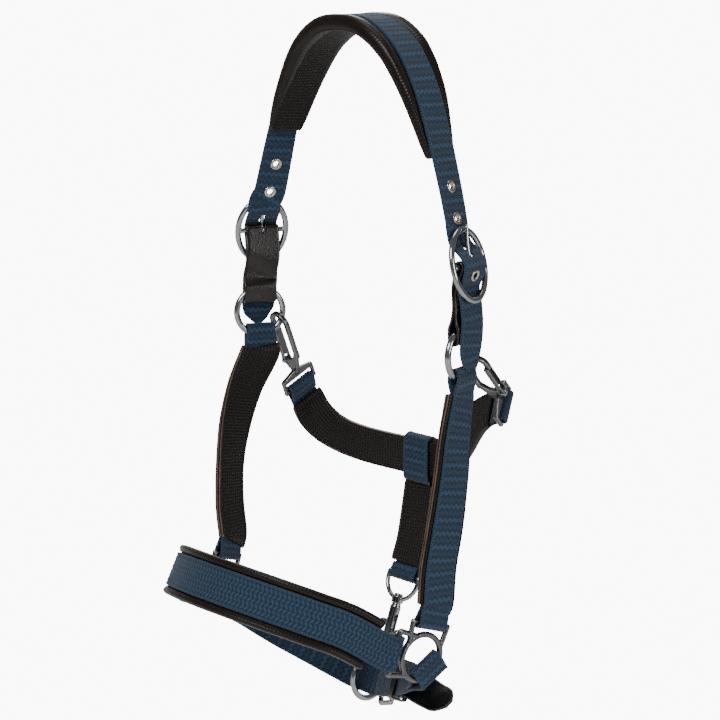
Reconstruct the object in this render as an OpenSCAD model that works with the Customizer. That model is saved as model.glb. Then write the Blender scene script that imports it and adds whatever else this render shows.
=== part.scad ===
// Padded webbing head halter, cob size, with removable throatlatch and chin adjustment.
// Frame: +Z up, the animal faces -Y, its left side is +X.
// The origin is the underside of the crown pad at the poll.

/* [Overall shape] */
// Half the distance between the two cheek rings
half_w = 104; // [98:1:110]
// Drop from the poll to the centre of the cheek rings
crown_drop = 216; // [208:1:226]
// Drop from the cheek rings to the centre of the nose fittings
cheek_drop = 210; // [200:1:225]
// How far the nose fittings sit ahead of the cheek rings
fitting_ahead = 42; // [34:1:50]
// How far the noseband reaches ahead of its bars
nose_reach = 78; // [72:1:86]
// How far the front of the noseband stands above its bars
nose_rise = 45; // [36:1:50]
// How far the chin sits behind the nose fittings
chin_back = 51; // [46:1:56]
// How far the chin sits below the nose fittings
chin_drop = 62; // [56:1:68]
// How far the throat sits behind the cheek rings
throat_back = 71; // [64:1:78]
// How far the throat hangs below the cheek rings
throat_drop = 109; // [101:1:114]
// Yaw of the ring and buckle on the left side
yaw_left = 8; // [0:1:20]
// Yaw of the ring and buckle on the right side
yaw_right = 28; // [0:1:32]
// How far the left cheek strap bows outward
bow_left = 4; // [0:1:12]
// How far the right cheek strap bows outward
bow_right = 12; // [0:1:16]

/* [Straps] */
// Width of the webbing
webbing_w = 25; // [23:0.5:25.5]
// Thickness of the webbing
webbing_t = 2.4; // [2:0.1:2.6]
// Thickness of the bridle leather
leather_t = 2; // [1.6:0.1:2.2]
// Width of the crown pad at the poll
crown_pad_w = 50; // [42:1:54]
// Thickness of the crown pad
crown_pad_t = 9; // [7:0.5:11]
// Width of the noseband pad
nose_pad_w = 38; // [36:1:42]
// Thickness of the noseband pad
nose_pad_t = 6; // [4:0.5:8]
// Width of the cheek pads
slim_pad_w = 28; // [27.5:0.5:31]
// Width of the throat and jaw pads
throat_pad_w = 28; // [27.5:0.5:31]
// Thickness of the cheek, throat and jaw pads
slim_pad_t = 4; // [3:0.5:5]

/* [Fittings] */
// Centreline radius of the cheek and lead rings
ring_r = 18; // [17.5:0.5:20]
// Wire radius of the cheek and lead rings
ring_wire = 2.4; // [2:0.1:2.6]
// Half height of the oval crown buckle, to the wire centre
buckle_a = 24.5; // [24:0.5:27]
// Half width of the oval crown buckle, to the wire centre
buckle_b = 18.6; // [18:0.2:20]
// Wire radius of the crown buckle
buckle_wire = 2.3; // [2:0.1:2.4]
// Radius of the bars that the straps fold round
bar_r = 2; // [1.8:0.1:2.1]
// Distance between two strap holes
hole_pitch = 21; // [20:0.5:22]
// Length of the throat hooks, from the ring wire to the webbing bar
hook_len = 60; // [57:1:63]
// Thickness of the throat hooks
hook_t = 3.6; // [3:0.1:3.8]

/* [Hidden] */
$fn = 48;

gap = 0.2;                 // free space round a folded strap
pad_gap = 0.15;            // free space between a strap and the pad sewn under it
run = 0.3;                 // free space between separate moving pieces
fold_r = bar_r + gap + webbing_t / 2;
ring_fold_r = ring_wire + gap + webbing_t / 2;
steps = 5;                 // facets between two path points

webbing_blue = [0.16, 0.25, 0.37];
pad_brown = [0.16, 0.12, 0.10];
leather_black = [0.09, 0.08, 0.08];
chrome = [0.80, 0.80, 0.82];
cast_grey = [0.62, 0.62, 0.64];

// ---------------------------------------------------------------- vectors
function unit(v) = v / norm(v);
function square_to(v, t) = unit(v - (v * t) * t);
function turn_x(a, v) = [v[0], v[1] * cos(a) - v[2] * sin(a), v[1] * sin(a) + v[2] * cos(a)];
function turn_z(a, v) = [v[0] * cos(a) - v[1] * sin(a), v[0] * sin(a) + v[1] * cos(a), v[2]];
function flip(v) = [-v[0], v[1], v[2]];
function reverse(list) = [for (i = [len(list) - 1:-1:0]) list[i]];
function part_of(v, a, b) = [for (i = [a:b]) v[i]];

// Puts children at p, with local x along t, local y along w and local z outward
module place(p, t, w) {
  n = cross(t, w);
  translate(p) rotate([atan2(w[2], n[2]), -asin(t[2]), atan2(t[1], t[0])]) children();
}

// ---------------------------------------------------------------- strap paths
// A path row is [x, y, z, outward normal x, y, z, width factor, thickness factor]
function row(p, n, ws = 1, ts = 1) = concat(p, n, [ws, ts]);
function row_p(r) = part_of(r, 0, 2);
function row_n(r) = part_of(r, 3, 5);
function flip_row(r) = row(flip(row_p(r)), flip(row_n(r)), r[6], r[7]);
function both_sides(left, right) =
  concat(reverse(left), [for (i = [1:len(right) - 1]) flip_row(right[i])]);
function held(list, i) = list[max(0, min(len(list) - 1, i))];
function blend4(a, b, c, d, t) =
  0.5 * (2 * b + (c - a) * t + (2 * a - 5 * b + 4 * c - d) * t * t
         + (3 * b - a - 3 * c + d) * t * t * t);
function path_at(rows, u) =
  let (i = max(0, min(floor(u), len(rows) - 2)))
  blend4(held(rows, i - 1), rows[i], rows[i + 1], held(rows, i + 2), u - i);
function smooth(rows, n = steps) =
  concat([for (i = [0:len(rows) - 2]) for (j = [0:n - 1]) path_at(rows, i + j / n)],
         [rows[len(rows) - 1]]);
function heading(rows, i) = unit(row_p(held(rows, i + 1)) - row_p(held(rows, i - 1)));
function heading_at(rows, u) =
  unit(row_p(path_at(rows, u + 0.02)) - row_p(path_at(rows, u - 0.02)));

// Rows that carry a strap half way round a bar, from its outer ply to its inner ply.
// away points from the bar along the strap and out is the outer face.
function fold(bar, away, out, r, n = 8) =
  [for (i = [0:n]) let (d = cos(i * 180 / n) * out - sin(i * 180 / n) * away)
    row(bar + r * d, d)];

// A section is a row of top points followed by the bottom points in reverse order
function band(w, t, lift = 0) =
  [[-w / 2, lift + t / 2], [w / 2, lift + t / 2], [w / 2, lift - t / 2], [-w / 2, lift - t / 2]];

// Padding under a strap: flat under the webbing, with a rolled edge on each side.
// top is the height of the seat, rise is how far the rolls stand above it.
function padding(w, seat_w, t, top, rise) =
  let (e = w / 2, s = seat_w / 2, m = (e + s) / 2, b = top - t)
  concat([[-e, top - t * 0.35], [-e + (e - s) * 0.18, top + rise * 0.7], [-m, top + rise],
          [-s - 0.4, top + rise * 0.55], [-s, top], [s, top], [s + 0.4, top + rise * 0.55],
          [m, top + rise], [e - (e - s) * 0.18, top + rise * 0.7], [e, top - t * 0.35]],
         [[e, top - t * 0.5], [e - (e - s) * 0.18, b + t * 0.2], [m, b], [s + 0.4, b],
          [s * 0.6, b + t * 0.06], [-s * 0.6, b + t * 0.06], [-s - 0.4, b], [-m, b],
          [-e + (e - s) * 0.18, b + t * 0.2], [-e, top - t * 0.5]]);

// Sweeps a section, or one section per row, along rows that are already smooth.
// A closed loop has no end caps. Top and bottom are split along the same diagonal, so that
// a strap and the pad under it stay parallel where they twist.
module sweep(rows, section, closed = false) {
  m = len(rows);
  each_own = is_list(section[0][0]);
  k = len(each_own ? section[0] : section);
  h = k / 2;
  points = [for (i = [0:m - 1])
    let (r = rows[i],
         t = closed ? unit(row_p(rows[(i + 1) % m]) - row_p(rows[(i + m - 1) % m]))
                    : heading(rows, i),
         n = square_to(row_n(r), t), w = cross(n, t))
    for (s = each_own ? section[i] : section) row_p(r) + w * (s[0] * r[6]) + n * (s[1] * r[7])];
  last = closed ? m - 1 : m - 2;
  sides = [for (i = [0:last]) for (j = [0:k - 1])
    let (a = i * k + j, b = i * k + (j + 1) % k, c = ((i + 1) % m) * k + (j + 1) % k,
         d = ((i + 1) % m) * k + j)
    each (j < h ? [[a, b, c], [a, c, d]] : [[a, b, d], [b, c, d]])];
  caps = closed ? [] : [for (j = [0:h - 2])
    let (a = j, b = j + 1, c = k - 2 - j, d = k - 1 - j, z = (m - 1) * k)
    each [[a, c, b], [a, d, c], [z + a, z + b, z + c], [z + a, z + c, z + d]]];
  polyhedron(points, concat(sides, caps));
}

// ---------------------------------------------------------------- side frames
// Everything here is for the left side; the right side is its mirror image.
function out_at(yaw) = [cos(yaw), sin(yaw), 0];
function across_at(yaw) = [-sin(yaw), cos(yaw), 0];
cheek_ring_c = [half_w, -4, -crown_drop];
buckle_tilt = 14;
function buckle_c(yaw) = cheek_ring_c + [2, 2 + yaw * 0.1, 62];
// Along the buckle, pointing down the strap
function buckle_down(yaw) = cos(buckle_tilt) * [0, 0, -1] + sin(buckle_tilt) * out_at(yaw);
function buckle_out(yaw) = cos(buckle_tilt) * out_at(yaw) + sin(buckle_tilt) * [0, 0, 1];
function buckle_spot(yaw, x, z) = buckle_c(yaw) + x * buckle_down(yaw) + z * buckle_out(yaw);

fitting_tilt = 20;
fitting_yaw = -10;
fitting_c = cheek_ring_c + [2, -fitting_ahead, -cheek_drop];
function fitting_dir(v) = turn_z(fitting_yaw, turn_x(-fitting_tilt, v));
function fitting_spot(v) = fitting_c + fitting_dir(v);
fitting_hole_r = 14.4;
fitting_ring_w = 4.2;
fitting_bar = fitting_hole_r + fitting_ring_w + 5.6;   // ring centre to a slot bar
fitting_half_bar = webbing_w / 2 + 3.3;

// ---------------------------------------------------------------- crown
tail_lift = bar_r + gap + leather_t + run + webbing_t / 2;     // webbing over the bar
tuck = buckle_wire + run + webbing_t / 2;                      // webbing under the rim
// Inside of the rim, measured along the buckle at the edge of the webbing
rim_inner = buckle_a * sqrt(1 - pow(webbing_w / 2 / buckle_b, 2)) - buckle_wire;
function crown_rows(yaw) =
  let (n = out_at(yaw), top = crown_pad_t + webbing_t / 2, w = half_w, b = buckle_c(yaw)[2])
  [row([0, 0, top], [0, 0, 1]),
   row([0.22 * w, 0, top - 3.6], [0.3, 0, 0.95]),
   row([0.435 * w, 0, top - 19], [0.68, 0, 0.73]),
   row([0.605 * w, 0, top - 45], [0.86, 0.08 * sin(yaw), 0.5]),
   row([0.74 * w, -1, top - 78], 0.94 * turn_z(yaw * 0.4, [1, 0, 0.36])),
   row([0.845 * w, -1, b + 10 + 2 * hole_pitch], turn_z(yaw * 0.75, [1, 0, 0.3])),
   row([0.905 * w, -1.5, b + 9.6 + hole_pitch], turn_z(yaw * 0.95, [1, 0, 0.26])),
   row(buckle_spot(yaw, -buckle_a, -tuck), n + [0, 0, 0.26]),
   row(buckle_spot(yaw, -rim_inner, 0.4 - tuck), n + [0, 0, 0.6]),
   row(buckle_spot(yaw, -9, 1.6), n + [0, 0, 0.8]),
   row(buckle_spot(yaw, 0, tail_lift), n + [0, 0, 0.24]),
   row(buckle_spot(yaw, 9, 1.6), n - [0, 0, 0.2]),
   row(buckle_spot(yaw, rim_inner, 0.4 - tuck), n - [0, 0, 0.2]),
   row(buckle_spot(yaw, buckle_a, -tuck), n),
   row(buckle_spot(yaw, buckle_a + 17, -tuck - 2.6), n + [0, 0, 0.12]),
   row(cheek_ring_c + 6.4 * n + [0, 0, 3], n),
   row(cheek_ring_c + 6.7 * n + [0, 0, -6], n, 0.62),
   row(cheek_ring_c + 6.9 * n + [0, 0, -11.5], n, 0.1)];
tongue_hole_u = 9;
eyelet_u = [5, 6, 10.8];
crown_path = both_sides(crown_rows(yaw_left), crown_rows(yaw_right));

module at_crown(rows, u) {
  t = heading_at(rows, u);
  w = cross(square_to(row_n(path_at(rows, u)), t), t);
  place(row_p(path_at(rows, u)), t, w) children();
}
module side_of(side) {
  if (side > 0) children(); else mirror([1, 0, 0]) children();
}
eyelet_hole_r = 2.4;
eyelet_barrel_r = 3;

module crown_webbing() {
  color(webbing_blue) difference() {
    sweep(smooth(crown_path), band(webbing_w, webbing_t));
    for (side = [1, -1]) side_of(side)
      let (rows = crown_rows(side > 0 ? yaw_left : yaw_right)) {
        for (u = eyelet_u) at_crown(rows, u) cylinder(r = eyelet_barrel_r + 0.05, h = 9, center = true);
        at_crown(rows, tongue_hole_u) cube([9.4, 4.6, 12], center = true);
      }
  }
}

module eyelet() {
  flange_t = 0.5;
  rotate_extrude() {
    translate([eyelet_hole_r, -webbing_t / 2 - flange_t])
      square([eyelet_barrel_r - eyelet_hole_r, webbing_t + 2 * flange_t]);
    for (z = [webbing_t / 2 + 0.05, -webbing_t / 2 - flange_t - 0.05])
      translate([eyelet_hole_r, z]) square([2.2, flange_t]);
  }
}
module crown_eyelets(side, yaw) {
  color(chrome) side_of(side)
    for (u = eyelet_u) at_crown(crown_rows(yaw), u) eyelet();
}

// The pad follows the middle of the webbing, and narrows and thins towards its ends
crown_pad_span = [22, 21]; // fine rows of the crown strap on the left and right of the poll
module crown_pad() {
  middle = (len(crown_path) - 1) / 2 * steps;
  rows = part_of(smooth(crown_path), middle - crown_pad_span[0], middle + crown_pad_span[1]);
  function taper(i) = let (f = abs(2 * i / (len(rows) - 1) - 1)) 1 - 0.42 * pow(f, 2.4);
  color(pad_brown) sweep(rows,
    [for (i = [0:len(rows) - 1]) let (k = taper(i))
      padding(crown_pad_w * k, webbing_w + 2, crown_pad_t * k, -webbing_t / 2 - pad_gap, 3 * k * k)]);
}

// ---------------------------------------------------------------- oval buckle
module wire_arc(radius, wire, from, sweep_angle) {
  rotate([0, 0, from]) rotate_extrude(angle = sweep_angle) translate([radius, 0]) circle(r = wire);
}
module oval_buckle() {
  sides = 12;
  round_section = [for (i = [0:sides - 1]) let (a = 165 - i * 360 / sides)
    buckle_wire * [cos(a), sin(a)]];
  sweep([for (a = [0:7.5:352.5]) row([buckle_a * cos(a), buckle_b * sin(a), 0], [0, 0, 1])],
        round_section, closed = true);
  rotate([90, 0, 0]) cylinder(r = bar_r, h = 2 * buckle_b, center = true);
}
module at_buckle(side, yaw) {
  side_of(side) place(buckle_c(yaw), buckle_down(yaw), across_at(yaw)) children();
}
module crown_buckle(side, yaw) {
  color(chrome) at_buckle(side, yaw) oval_buckle();
}
tongue_r = 1.5;
tongue_eye_r = bar_r + 0.1;
module crown_tongue(side, yaw) {
  rise = buckle_wire + tongue_r + 0.15;
  slope = atan2(rise, buckle_a);
  color(chrome) at_buckle(side, yaw) difference() {
    union() {
      rotate([90, 0, 0]) cylinder(r = tongue_eye_r + 1.5, h = 3.2, center = true);
      rotate([0, slope, 0]) translate([-buckle_a - 2.4, 0, 0]) rotate([0, 90, 0])
        cylinder(r = tongue_r, h = buckle_a + 1);
      rotate([0, slope, 0]) translate([-buckle_a - 2.4, 0, 0]) sphere(r = tongue_r);
    }
    rotate([90, 0, 0]) cylinder(r = tongue_eye_r, h = 8, center = true);
  }
}

// Leather loop that joins the buckle bar to the cheek ring
module buckle_chape(side, yaw) {
  n = out_at(yaw);
  t = leather_t;
  ring_hold = sqrt(pow(ring_r - ring_wire, 2) - pow(webbing_w / 2, 2)) - gap;
  lower = cheek_ring_c + [0, 0, ring_hold + ring_wire];
  r_bar = bar_r + gap + t / 2;
  r_ring = ring_wire + gap + t / 2;
  bar = buckle_c(yaw);
  waist = buckle_spot(yaw, 17, -tuck - webbing_t / 2 - 4.5 * run - t - gap);
  down = unit(waist - bar);
  out = square_to(n, down);
  neck = cheek_ring_c + [0, 0, ring_r + ring_wire + 7];
  loop = concat(fold(bar, down, out, r_bar),
    [row(waist - (t / 2 + gap) * out, -out), row(neck - (t / 2 + gap) * out, -out),
     row(lower + 8.5 * [0, 0, 1] - r_ring * n, -n)],
    reverse(fold(lower, [0, 0, 1], n, r_ring)),
    [row(lower + 8.5 * [0, 0, 1] + r_ring * n, n), row(neck + (t / 2 + gap) * out, out),
     row(waist + (t / 2 + gap) * out, out)]);
  color(leather_black) side_of(side) difference() {
    sweep(loop, band(webbing_w, t), closed = true);
    place(bar, down, across_at(yaw)) cube([15, 4.4, 14], center = true);
  }
}

// ---------------------------------------------------------------- cheek
module ring(r, wire) { rotate_extrude() translate([r, 0]) circle(r = wire); }
module cheek_ring(side, yaw) {
  color(chrome) side_of(side) translate(cheek_ring_c) rotate([0, 90, yaw]) ring(ring_r, ring_wire);
}
cheek_pinch = 0.86;                  // width factor of the webbing inside the ring
cheek_hold = sqrt(pow(ring_r - ring_wire, 2) - pow(webbing_w / 2 * cheek_pinch, 2)) - gap;
cheek_bar = fitting_spot([0, 0, fitting_bar]);
cheek_top = cheek_ring_c - [0, 0, cheek_hold + ring_wire];
ply = webbing_t / 2 + gap;        // half the distance between two plies laid together
return_l = 10;                    // length of the turned-back ply behind a fold
function cheek_mid(f, bow) =
  cheek_top + (cheek_bar - cheek_top) * f + [bow, -0.2 * bow, 0] * pow(sin(180 * f), 1.6);
// The strap turns from the face of the ring to the face of the fitting in its upper half
function cheek_out(n, m, f) = let (k = min(1, 1.7 * f)) unit(n * (1 - k) + m * k);
cheek_steps = 4;
cheek_from = 10;                     // first path row that the pad lies under
function pinch(rows, k) = [for (r = rows) row(row_p(r), row_n(r), k, 1)];
function cheek_rows(yaw, bow) =
  let (n = out_at(yaw), m = fitting_dir([1, 0, 0]), up = fitting_dir([0, 0, 1]), down = [0, 0, -1],
       along = square_to(cheek_bar - cheek_top, n),
       wire = cheek_ring_c + ring_r * down, drop = wire + (ring_wire + 6) * down,
       lift = cheek_bar + 10 * up)
  concat([row(drop - ply * n + (return_l - 5) * along, -n), row(drop - ply * n, -n)],
         pinch([row(wire - ring_fold_r * n, -n)], 0.94),
         pinch(reverse(fold(cheek_top, down, n, ring_fold_r, 4)), cheek_pinch),
         pinch([row(wire + ring_fold_r * n, n)], 0.94),
         [row(drop + ply * n, n), row(drop + ply * n + (return_l - 4) * along, n)],
         [for (f = [0.25, 0.42, 0.6, 0.77]) let (d = cheek_out(n, m, f))
           row(cheek_mid(f, bow) + ply * d, d)],
         [row(lift + (return_l - 4) * up + ply * m, m), row(lift + ply * m, m)],
         fold(cheek_bar, up, m, fold_r, 4),
         [row(lift - ply * m, -m), row(lift - ply * m + (return_l - 5) * up, -m)]);
module cheek_webbing(side, yaw, bow) {
  color(webbing_blue) side_of(side)
    sweep(smooth(cheek_rows(yaw, bow), cheek_steps), band(webbing_w, webbing_t));
}
module cheek_pad(side, yaw, bow) {
  rows = smooth(cheek_rows(yaw, bow), cheek_steps);
  color(pad_brown) side_of(side)
    sweep(part_of(rows, cheek_from * cheek_steps + 1, (cheek_from + 5) * cheek_steps - 1),
          padding(slim_pad_w, webbing_w + 1.2, slim_pad_t, -webbing_t / 2 - pad_gap, 1.6));
}

// ---------------------------------------------------------------- nose fitting
module round_bar(a, b, r) {
  d = b - a;
  translate(a) rotate([0, acos(d[2] / norm(d)), atan2(d[1], d[0])]) cylinder(r = r, h = norm(d));
  translate(a) sphere(r = r);
  translate(b) sphere(r = r);
}
// Ring with a slot on top for the cheek strap and a slot in front for the noseband,
// drawn with its plane square to local x
module fitting_body() {
  inner = fitting_hole_r;
  mid = inner + fitting_ring_w / 2;
  c = 1.1;
  h = fitting_half_bar;
  rotate([0, 90, 0]) rotate_extrude()
    translate([mid, 0])
      polygon([[-fitting_ring_w / 2, -bar_r + c], [-fitting_ring_w / 2 + c, -bar_r],
               [fitting_ring_w / 2 - c, -bar_r], [fitting_ring_w / 2, -bar_r + c],
               [fitting_ring_w / 2, bar_r - c], [fitting_ring_w / 2 - c, bar_r],
               [-fitting_ring_w / 2 + c, bar_r], [-fitting_ring_w / 2, bar_r - c]]);
  foot = sqrt(mid * mid - h * h * 0.8);
  for (turn = [0, 90]) rotate([turn, 0, 0]) {
    round_bar([0, -h, fitting_bar], [0, h, fitting_bar], bar_r);
    for (s = [1, -1]) round_bar([0, s * h, fitting_bar], [0, s * h * 0.9, foot], bar_r);
  }
}
module nose_fitting(side) {
  color(cast_grey) side_of(side) translate(fitting_c) rotate([0, 0, fitting_yaw])
    rotate([-fitting_tilt, 0, 0]) fitting_body();
}

// ---------------------------------------------------------------- noseband
nose_bar = fitting_spot([0, -fitting_bar, 0]);
nose_slope = atan2(nose_rise, nose_reach);
nose_out = fitting_dir([1, 0, 0]);
nose_fwd = fitting_dir([0, -1, 0]);
function nose_spot(a) =
  [nose_bar[0] * cos(a), nose_bar[1] - nose_reach * pow(sin(a), 1.25), nose_bar[2] + nose_rise * pow(sin(a), 1.1)];
function nose_normal(a) =
  [cos(a), -sin(a) * cos(nose_slope), sin(a) * sin(nose_slope)];
nose_steps = 3;
function nose_half() =
  concat([for (a = [90:-15:30]) row(nose_spot(a) + ply * nose_normal(a), nose_normal(a))],
         [row(nose_bar + 9 * nose_fwd + ply * nose_out, nose_out)]);
nose_end = concat(fold(nose_bar, nose_fwd, nose_out, fold_r, 4),
  [row(nose_bar + 6 * nose_fwd - ply * nose_out, -nose_out),
   row(nose_bar + (return_l - 1) * nose_fwd - ply * nose_out, -nose_out)]);
nose_path = both_sides(concat(nose_half(), nose_end), concat(nose_half(), nose_end));
module noseband_webbing() {
  color(webbing_blue) sweep(smooth(nose_path, nose_steps), band(webbing_w, webbing_t));
}
// The pad lies between the turned-back ends of the webbing
module noseband_pad() {
  middle = (len(nose_path) - 1) / 2;
  span = (len(nose_half()) - 1) * nose_steps - 1;
  color(pad_brown)
    sweep(part_of(smooth(nose_path, nose_steps), middle * nose_steps - span, middle * nose_steps + span),
          padding(nose_pad_w, webbing_w + 1.4, nose_pad_t, -webbing_t / 2 - pad_gap, 2.4));
}

// ---------------------------------------------------------------- throat hooks
hook_angle = 59;           // place of the hook on the ring, up from its lowest point
hook_gap_r = 6.2;          // inside radius of the hook's curl
hook_w = 3.6;              // width of the hook's bars
hook_side = hook_gap_r + hook_w;
curl_x = 1;             // centre of the curl, behind the ring wire
tip_x = 6.5;              // blunt tip of the curl
pivot_x = hook_len - 22;
pivot_y = -hook_gap_r - 1.2;
pin_r = 1.05;
lug_t = 2.4;
gate_in = hook_t + 0.8;    // inside width of the gate channel
gate_wall = 0.9;
gate_nose_x = 5.4;
eye_half = webbing_w / 2 + 3.5;
// Per side: yaw of the ring, pull of the hook, outward face, pull of the strap, strap fullness
hook_left = [yaw_left, [-0.15, 0.72, -0.68], [0.94, 0.30, 0.13], [-0.93, 0, -0.36], 34];
hook_right = [yaw_right, [0.08, 0.43, -0.90], [0.95, 0.10, -0.05], [0.04, 0.45, -0.89], 48];
function hook_wire(h) =
  cheek_ring_c + turn_z(h[0], [0, ring_r * sin(hook_angle), -ring_r * cos(hook_angle)]);
function hook_t_dir(h) = unit(h[1]);
function hook_face(h) = square_to(h[2], hook_t_dir(h));
function hook_w_dir(h) = cross(hook_face(h), hook_t_dir(h));
function hook_eye(h) = hook_wire(h) + hook_len * hook_t_dir(h);
module at_hook(side, h) {
  side_of(side) place(hook_wire(h), hook_t_dir(h), hook_w_dir(h)) children();
}
// Turns a drawing so that its y points to the animal and its plane stands across the eye
module on_edge() { rotate([-90, 0, 0]) children(); }
module flat(t) { translate([0, 0, -t / 2]) linear_extrude(t) children(); }
module throat_hook(side, h) {
  color(cast_grey) at_hook(side, h) {
    on_edge() difference() {
      union() {
        flat(hook_t) difference() {
          union() {
            translate([curl_x, 0]) circle(r = hook_side);
            translate([curl_x, hook_gap_r]) square([pivot_x - 6 - curl_x, hook_w]);
            translate([curl_x, -hook_side]) square([tip_x - curl_x, hook_w]);
            polygon([[pivot_x - 10, hook_side], [pivot_x - 10, hook_gap_r], [pivot_x - 3, 2],
                     [pivot_x - 2, pivot_y - 2], [pivot_x + 3, pivot_y - 2], [hook_len - 11, -2],
                     [hook_len - 11, 2]]);
          }
          translate([curl_x, 0]) circle(r = hook_gap_r);
          translate([curl_x, -hook_gap_r]) square([pivot_x - 10 - curl_x, 2 * hook_gap_r]);
          translate([tip_x, -hook_side - 1]) square([pivot_x - 2 - tip_x, hook_side + 1]);
        }
        translate([pivot_x, pivot_y, 0]) flat(lug_t) circle(r = 2.6);
      }
      for (s = [1, -1]) translate([pivot_x - 5.2, pivot_y - 3.4, s > 0 ? lug_t / 2 : -hook_t])
        cube([8.8, 6.8, hook_t - lug_t / 2]);
      translate([pivot_x, pivot_y, 0]) cylinder(r = pin_r + 0.03, h = 2 * hook_t, center = true);
    }
    flat(3.4) difference() {
      polygon([[hook_len - 15, hook_t / 2], [hook_len - 15, -hook_t / 2],
               [hook_len - 11, -eye_half], [hook_len + 1, -eye_half],
               [hook_len + 1, eye_half], [hook_len - 11, eye_half]]);
      translate([hook_len - 8, -webbing_w / 2 - 1]) square([12, webbing_w + 2]);
    }
    translate([hook_len, 0, 0]) rotate([90, 0, 0]) cylinder(r = bar_r, h = 2 * eye_half, center = true);
  }
}
// Channel-section gate that closes the curl from inside
module throat_gate(side, h) {
  floor_y = -hook_gap_r + run;
  color(cast_grey) at_hook(side, h) on_edge() difference() {
    union() {
      translate([gate_nose_x, floor_y, -gate_in / 2 - gate_wall])
        cube([pivot_x - 6 - gate_nose_x, 1, gate_in + 2 * gate_wall]);
      for (s = [1, -1]) translate([0, 0, s * (gate_in + gate_wall) / 2]) flat(gate_wall) {
        translate([gate_nose_x, floor_y - 2.6]) square([pivot_x - 6 - gate_nose_x, 3.6]);
        polygon([[pivot_x - 7, floor_y + 1], [pivot_x - 7, floor_y - 2.6],
                 [pivot_x - 1, pivot_y - 2], [pivot_x, pivot_y + 2.2]]);
        translate([pivot_x, pivot_y]) circle(r = 2.2);
      }
    }
    translate([pivot_x, pivot_y, 0]) cylinder(r = pin_r + 0.08, h = 12, center = true);
  }
}
module gate_pin(side, h) {
  reach = gate_in / 2 + gate_wall;
  color(chrome) at_hook(side, h) on_edge() translate([pivot_x, pivot_y, 0]) {
    cylinder(r = pin_r, h = 2 * reach + 0.4, center = true);
    for (s = [1, -1]) translate([0, 0, s * (reach + 0.5)]) cylinder(r = 1.8, h = 0.7, center = true);
  }
}
module gate_spring(side, h) {
  wire = 0.2;
  coil_r = pin_r + 0.35 + wire;
  pitch = 0.5;
  color(chrome) at_hook(side, h) on_edge() translate([pivot_x, pivot_y, lug_t / 2 + 0.25]) {
    for (i = [0:1]) translate([0, 0, i * pitch]) ring(coil_r, wire);
    translate([-coil_r, 0, 0]) cylinder(r = 0.12, h = pitch);
    translate([0, coil_r, 0]) rotate([-90, 0, 0]) cylinder(r = 0.15, h = 1.2);
    translate([0, coil_r, pitch]) rotate([-90, 0, 0]) cylinder(r = 0.15, h = 1.2);
  }
}

// ---------------------------------------------------------------- throatlatch
throat_c = [0, cheek_ring_c[1] + throat_back, -crown_drop - throat_drop];
// Point u of the way along the curve that leaves a in direction da and reaches b against db
function bend(a, da, b, db, u) =
  pow(1 - u, 3) * a + 3 * pow(1 - u, 2) * u * (a + da) + 3 * (1 - u) * u * u * (b + db) + pow(u, 3) * b;
// Outer face of the strap on the hook: square to the bar and to the pull of the strap
function strap_pull(h) = square_to(h[3], hook_w_dir(h));
function strap_out(h) = unit(cross(h[3], hook_w_dir(h)));
throat_face = [0, 1, 0];
throat_seat = 9;           // straight run of the strap where it leaves the hook
function throat_rows(h) =
  let (s = strap_pull(h), f = strap_out(h), a = throat_c + [0, ply, 0],
       b = hook_eye(h) + throat_seat * s + ply * f)
  [for (i = [0:7]) let (u = i / 7)
    row(bend(a, [44, 0, 0], b, h[4] * s, u), throat_face * (1 - u * u) + f * u * u)];
function throat_end_rows(h) =
  let (s = strap_pull(h), f = strap_out(h), e = hook_eye(h))
  concat(fold(e, s, f, fold_r), [row(e + throat_seat * s - ply * f, -f)]);
throat_steps = 3;
throat_path = both_sides(concat(throat_rows(hook_left), throat_end_rows(hook_left)),
                         concat(throat_rows(hook_right), throat_end_rows(hook_right)));
module throat_webbing() {
  color(webbing_blue) sweep(smooth(throat_path, throat_steps), band(webbing_w, webbing_t));
}
module throat_pad() {
  middle = (len(throat_path) - 1) / 2 * throat_steps;
  span = 6 * throat_steps + 2;
  color(pad_brown)
    sweep(part_of(smooth(throat_path, throat_steps), middle - span, middle + span),
          padding(throat_pad_w, webbing_w + 1.2, slim_pad_t, -webbing_t / 2 - pad_gap, 1.2));
}

// ---------------------------------------------------------------- jaw strap
snap_reach = 62.8;         // eye bar to the ring wire held in the snap
lead_ring_c = fitting_c + [-fitting_c[0] - 3, chin_back + 9, -chin_drop];
snap_side = 7;             // the wire sits this far to the side of the snap's axis
jaw_lean = [0, 0.37, 0.93];
snap_down = -unit(jaw_lean);
snap_bar = lead_ring_c + [snap_side, 0, 0] + (ring_r + snap_reach) * unit(jaw_lean);
jaw_out = [0, 0.97, -0.25];
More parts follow.
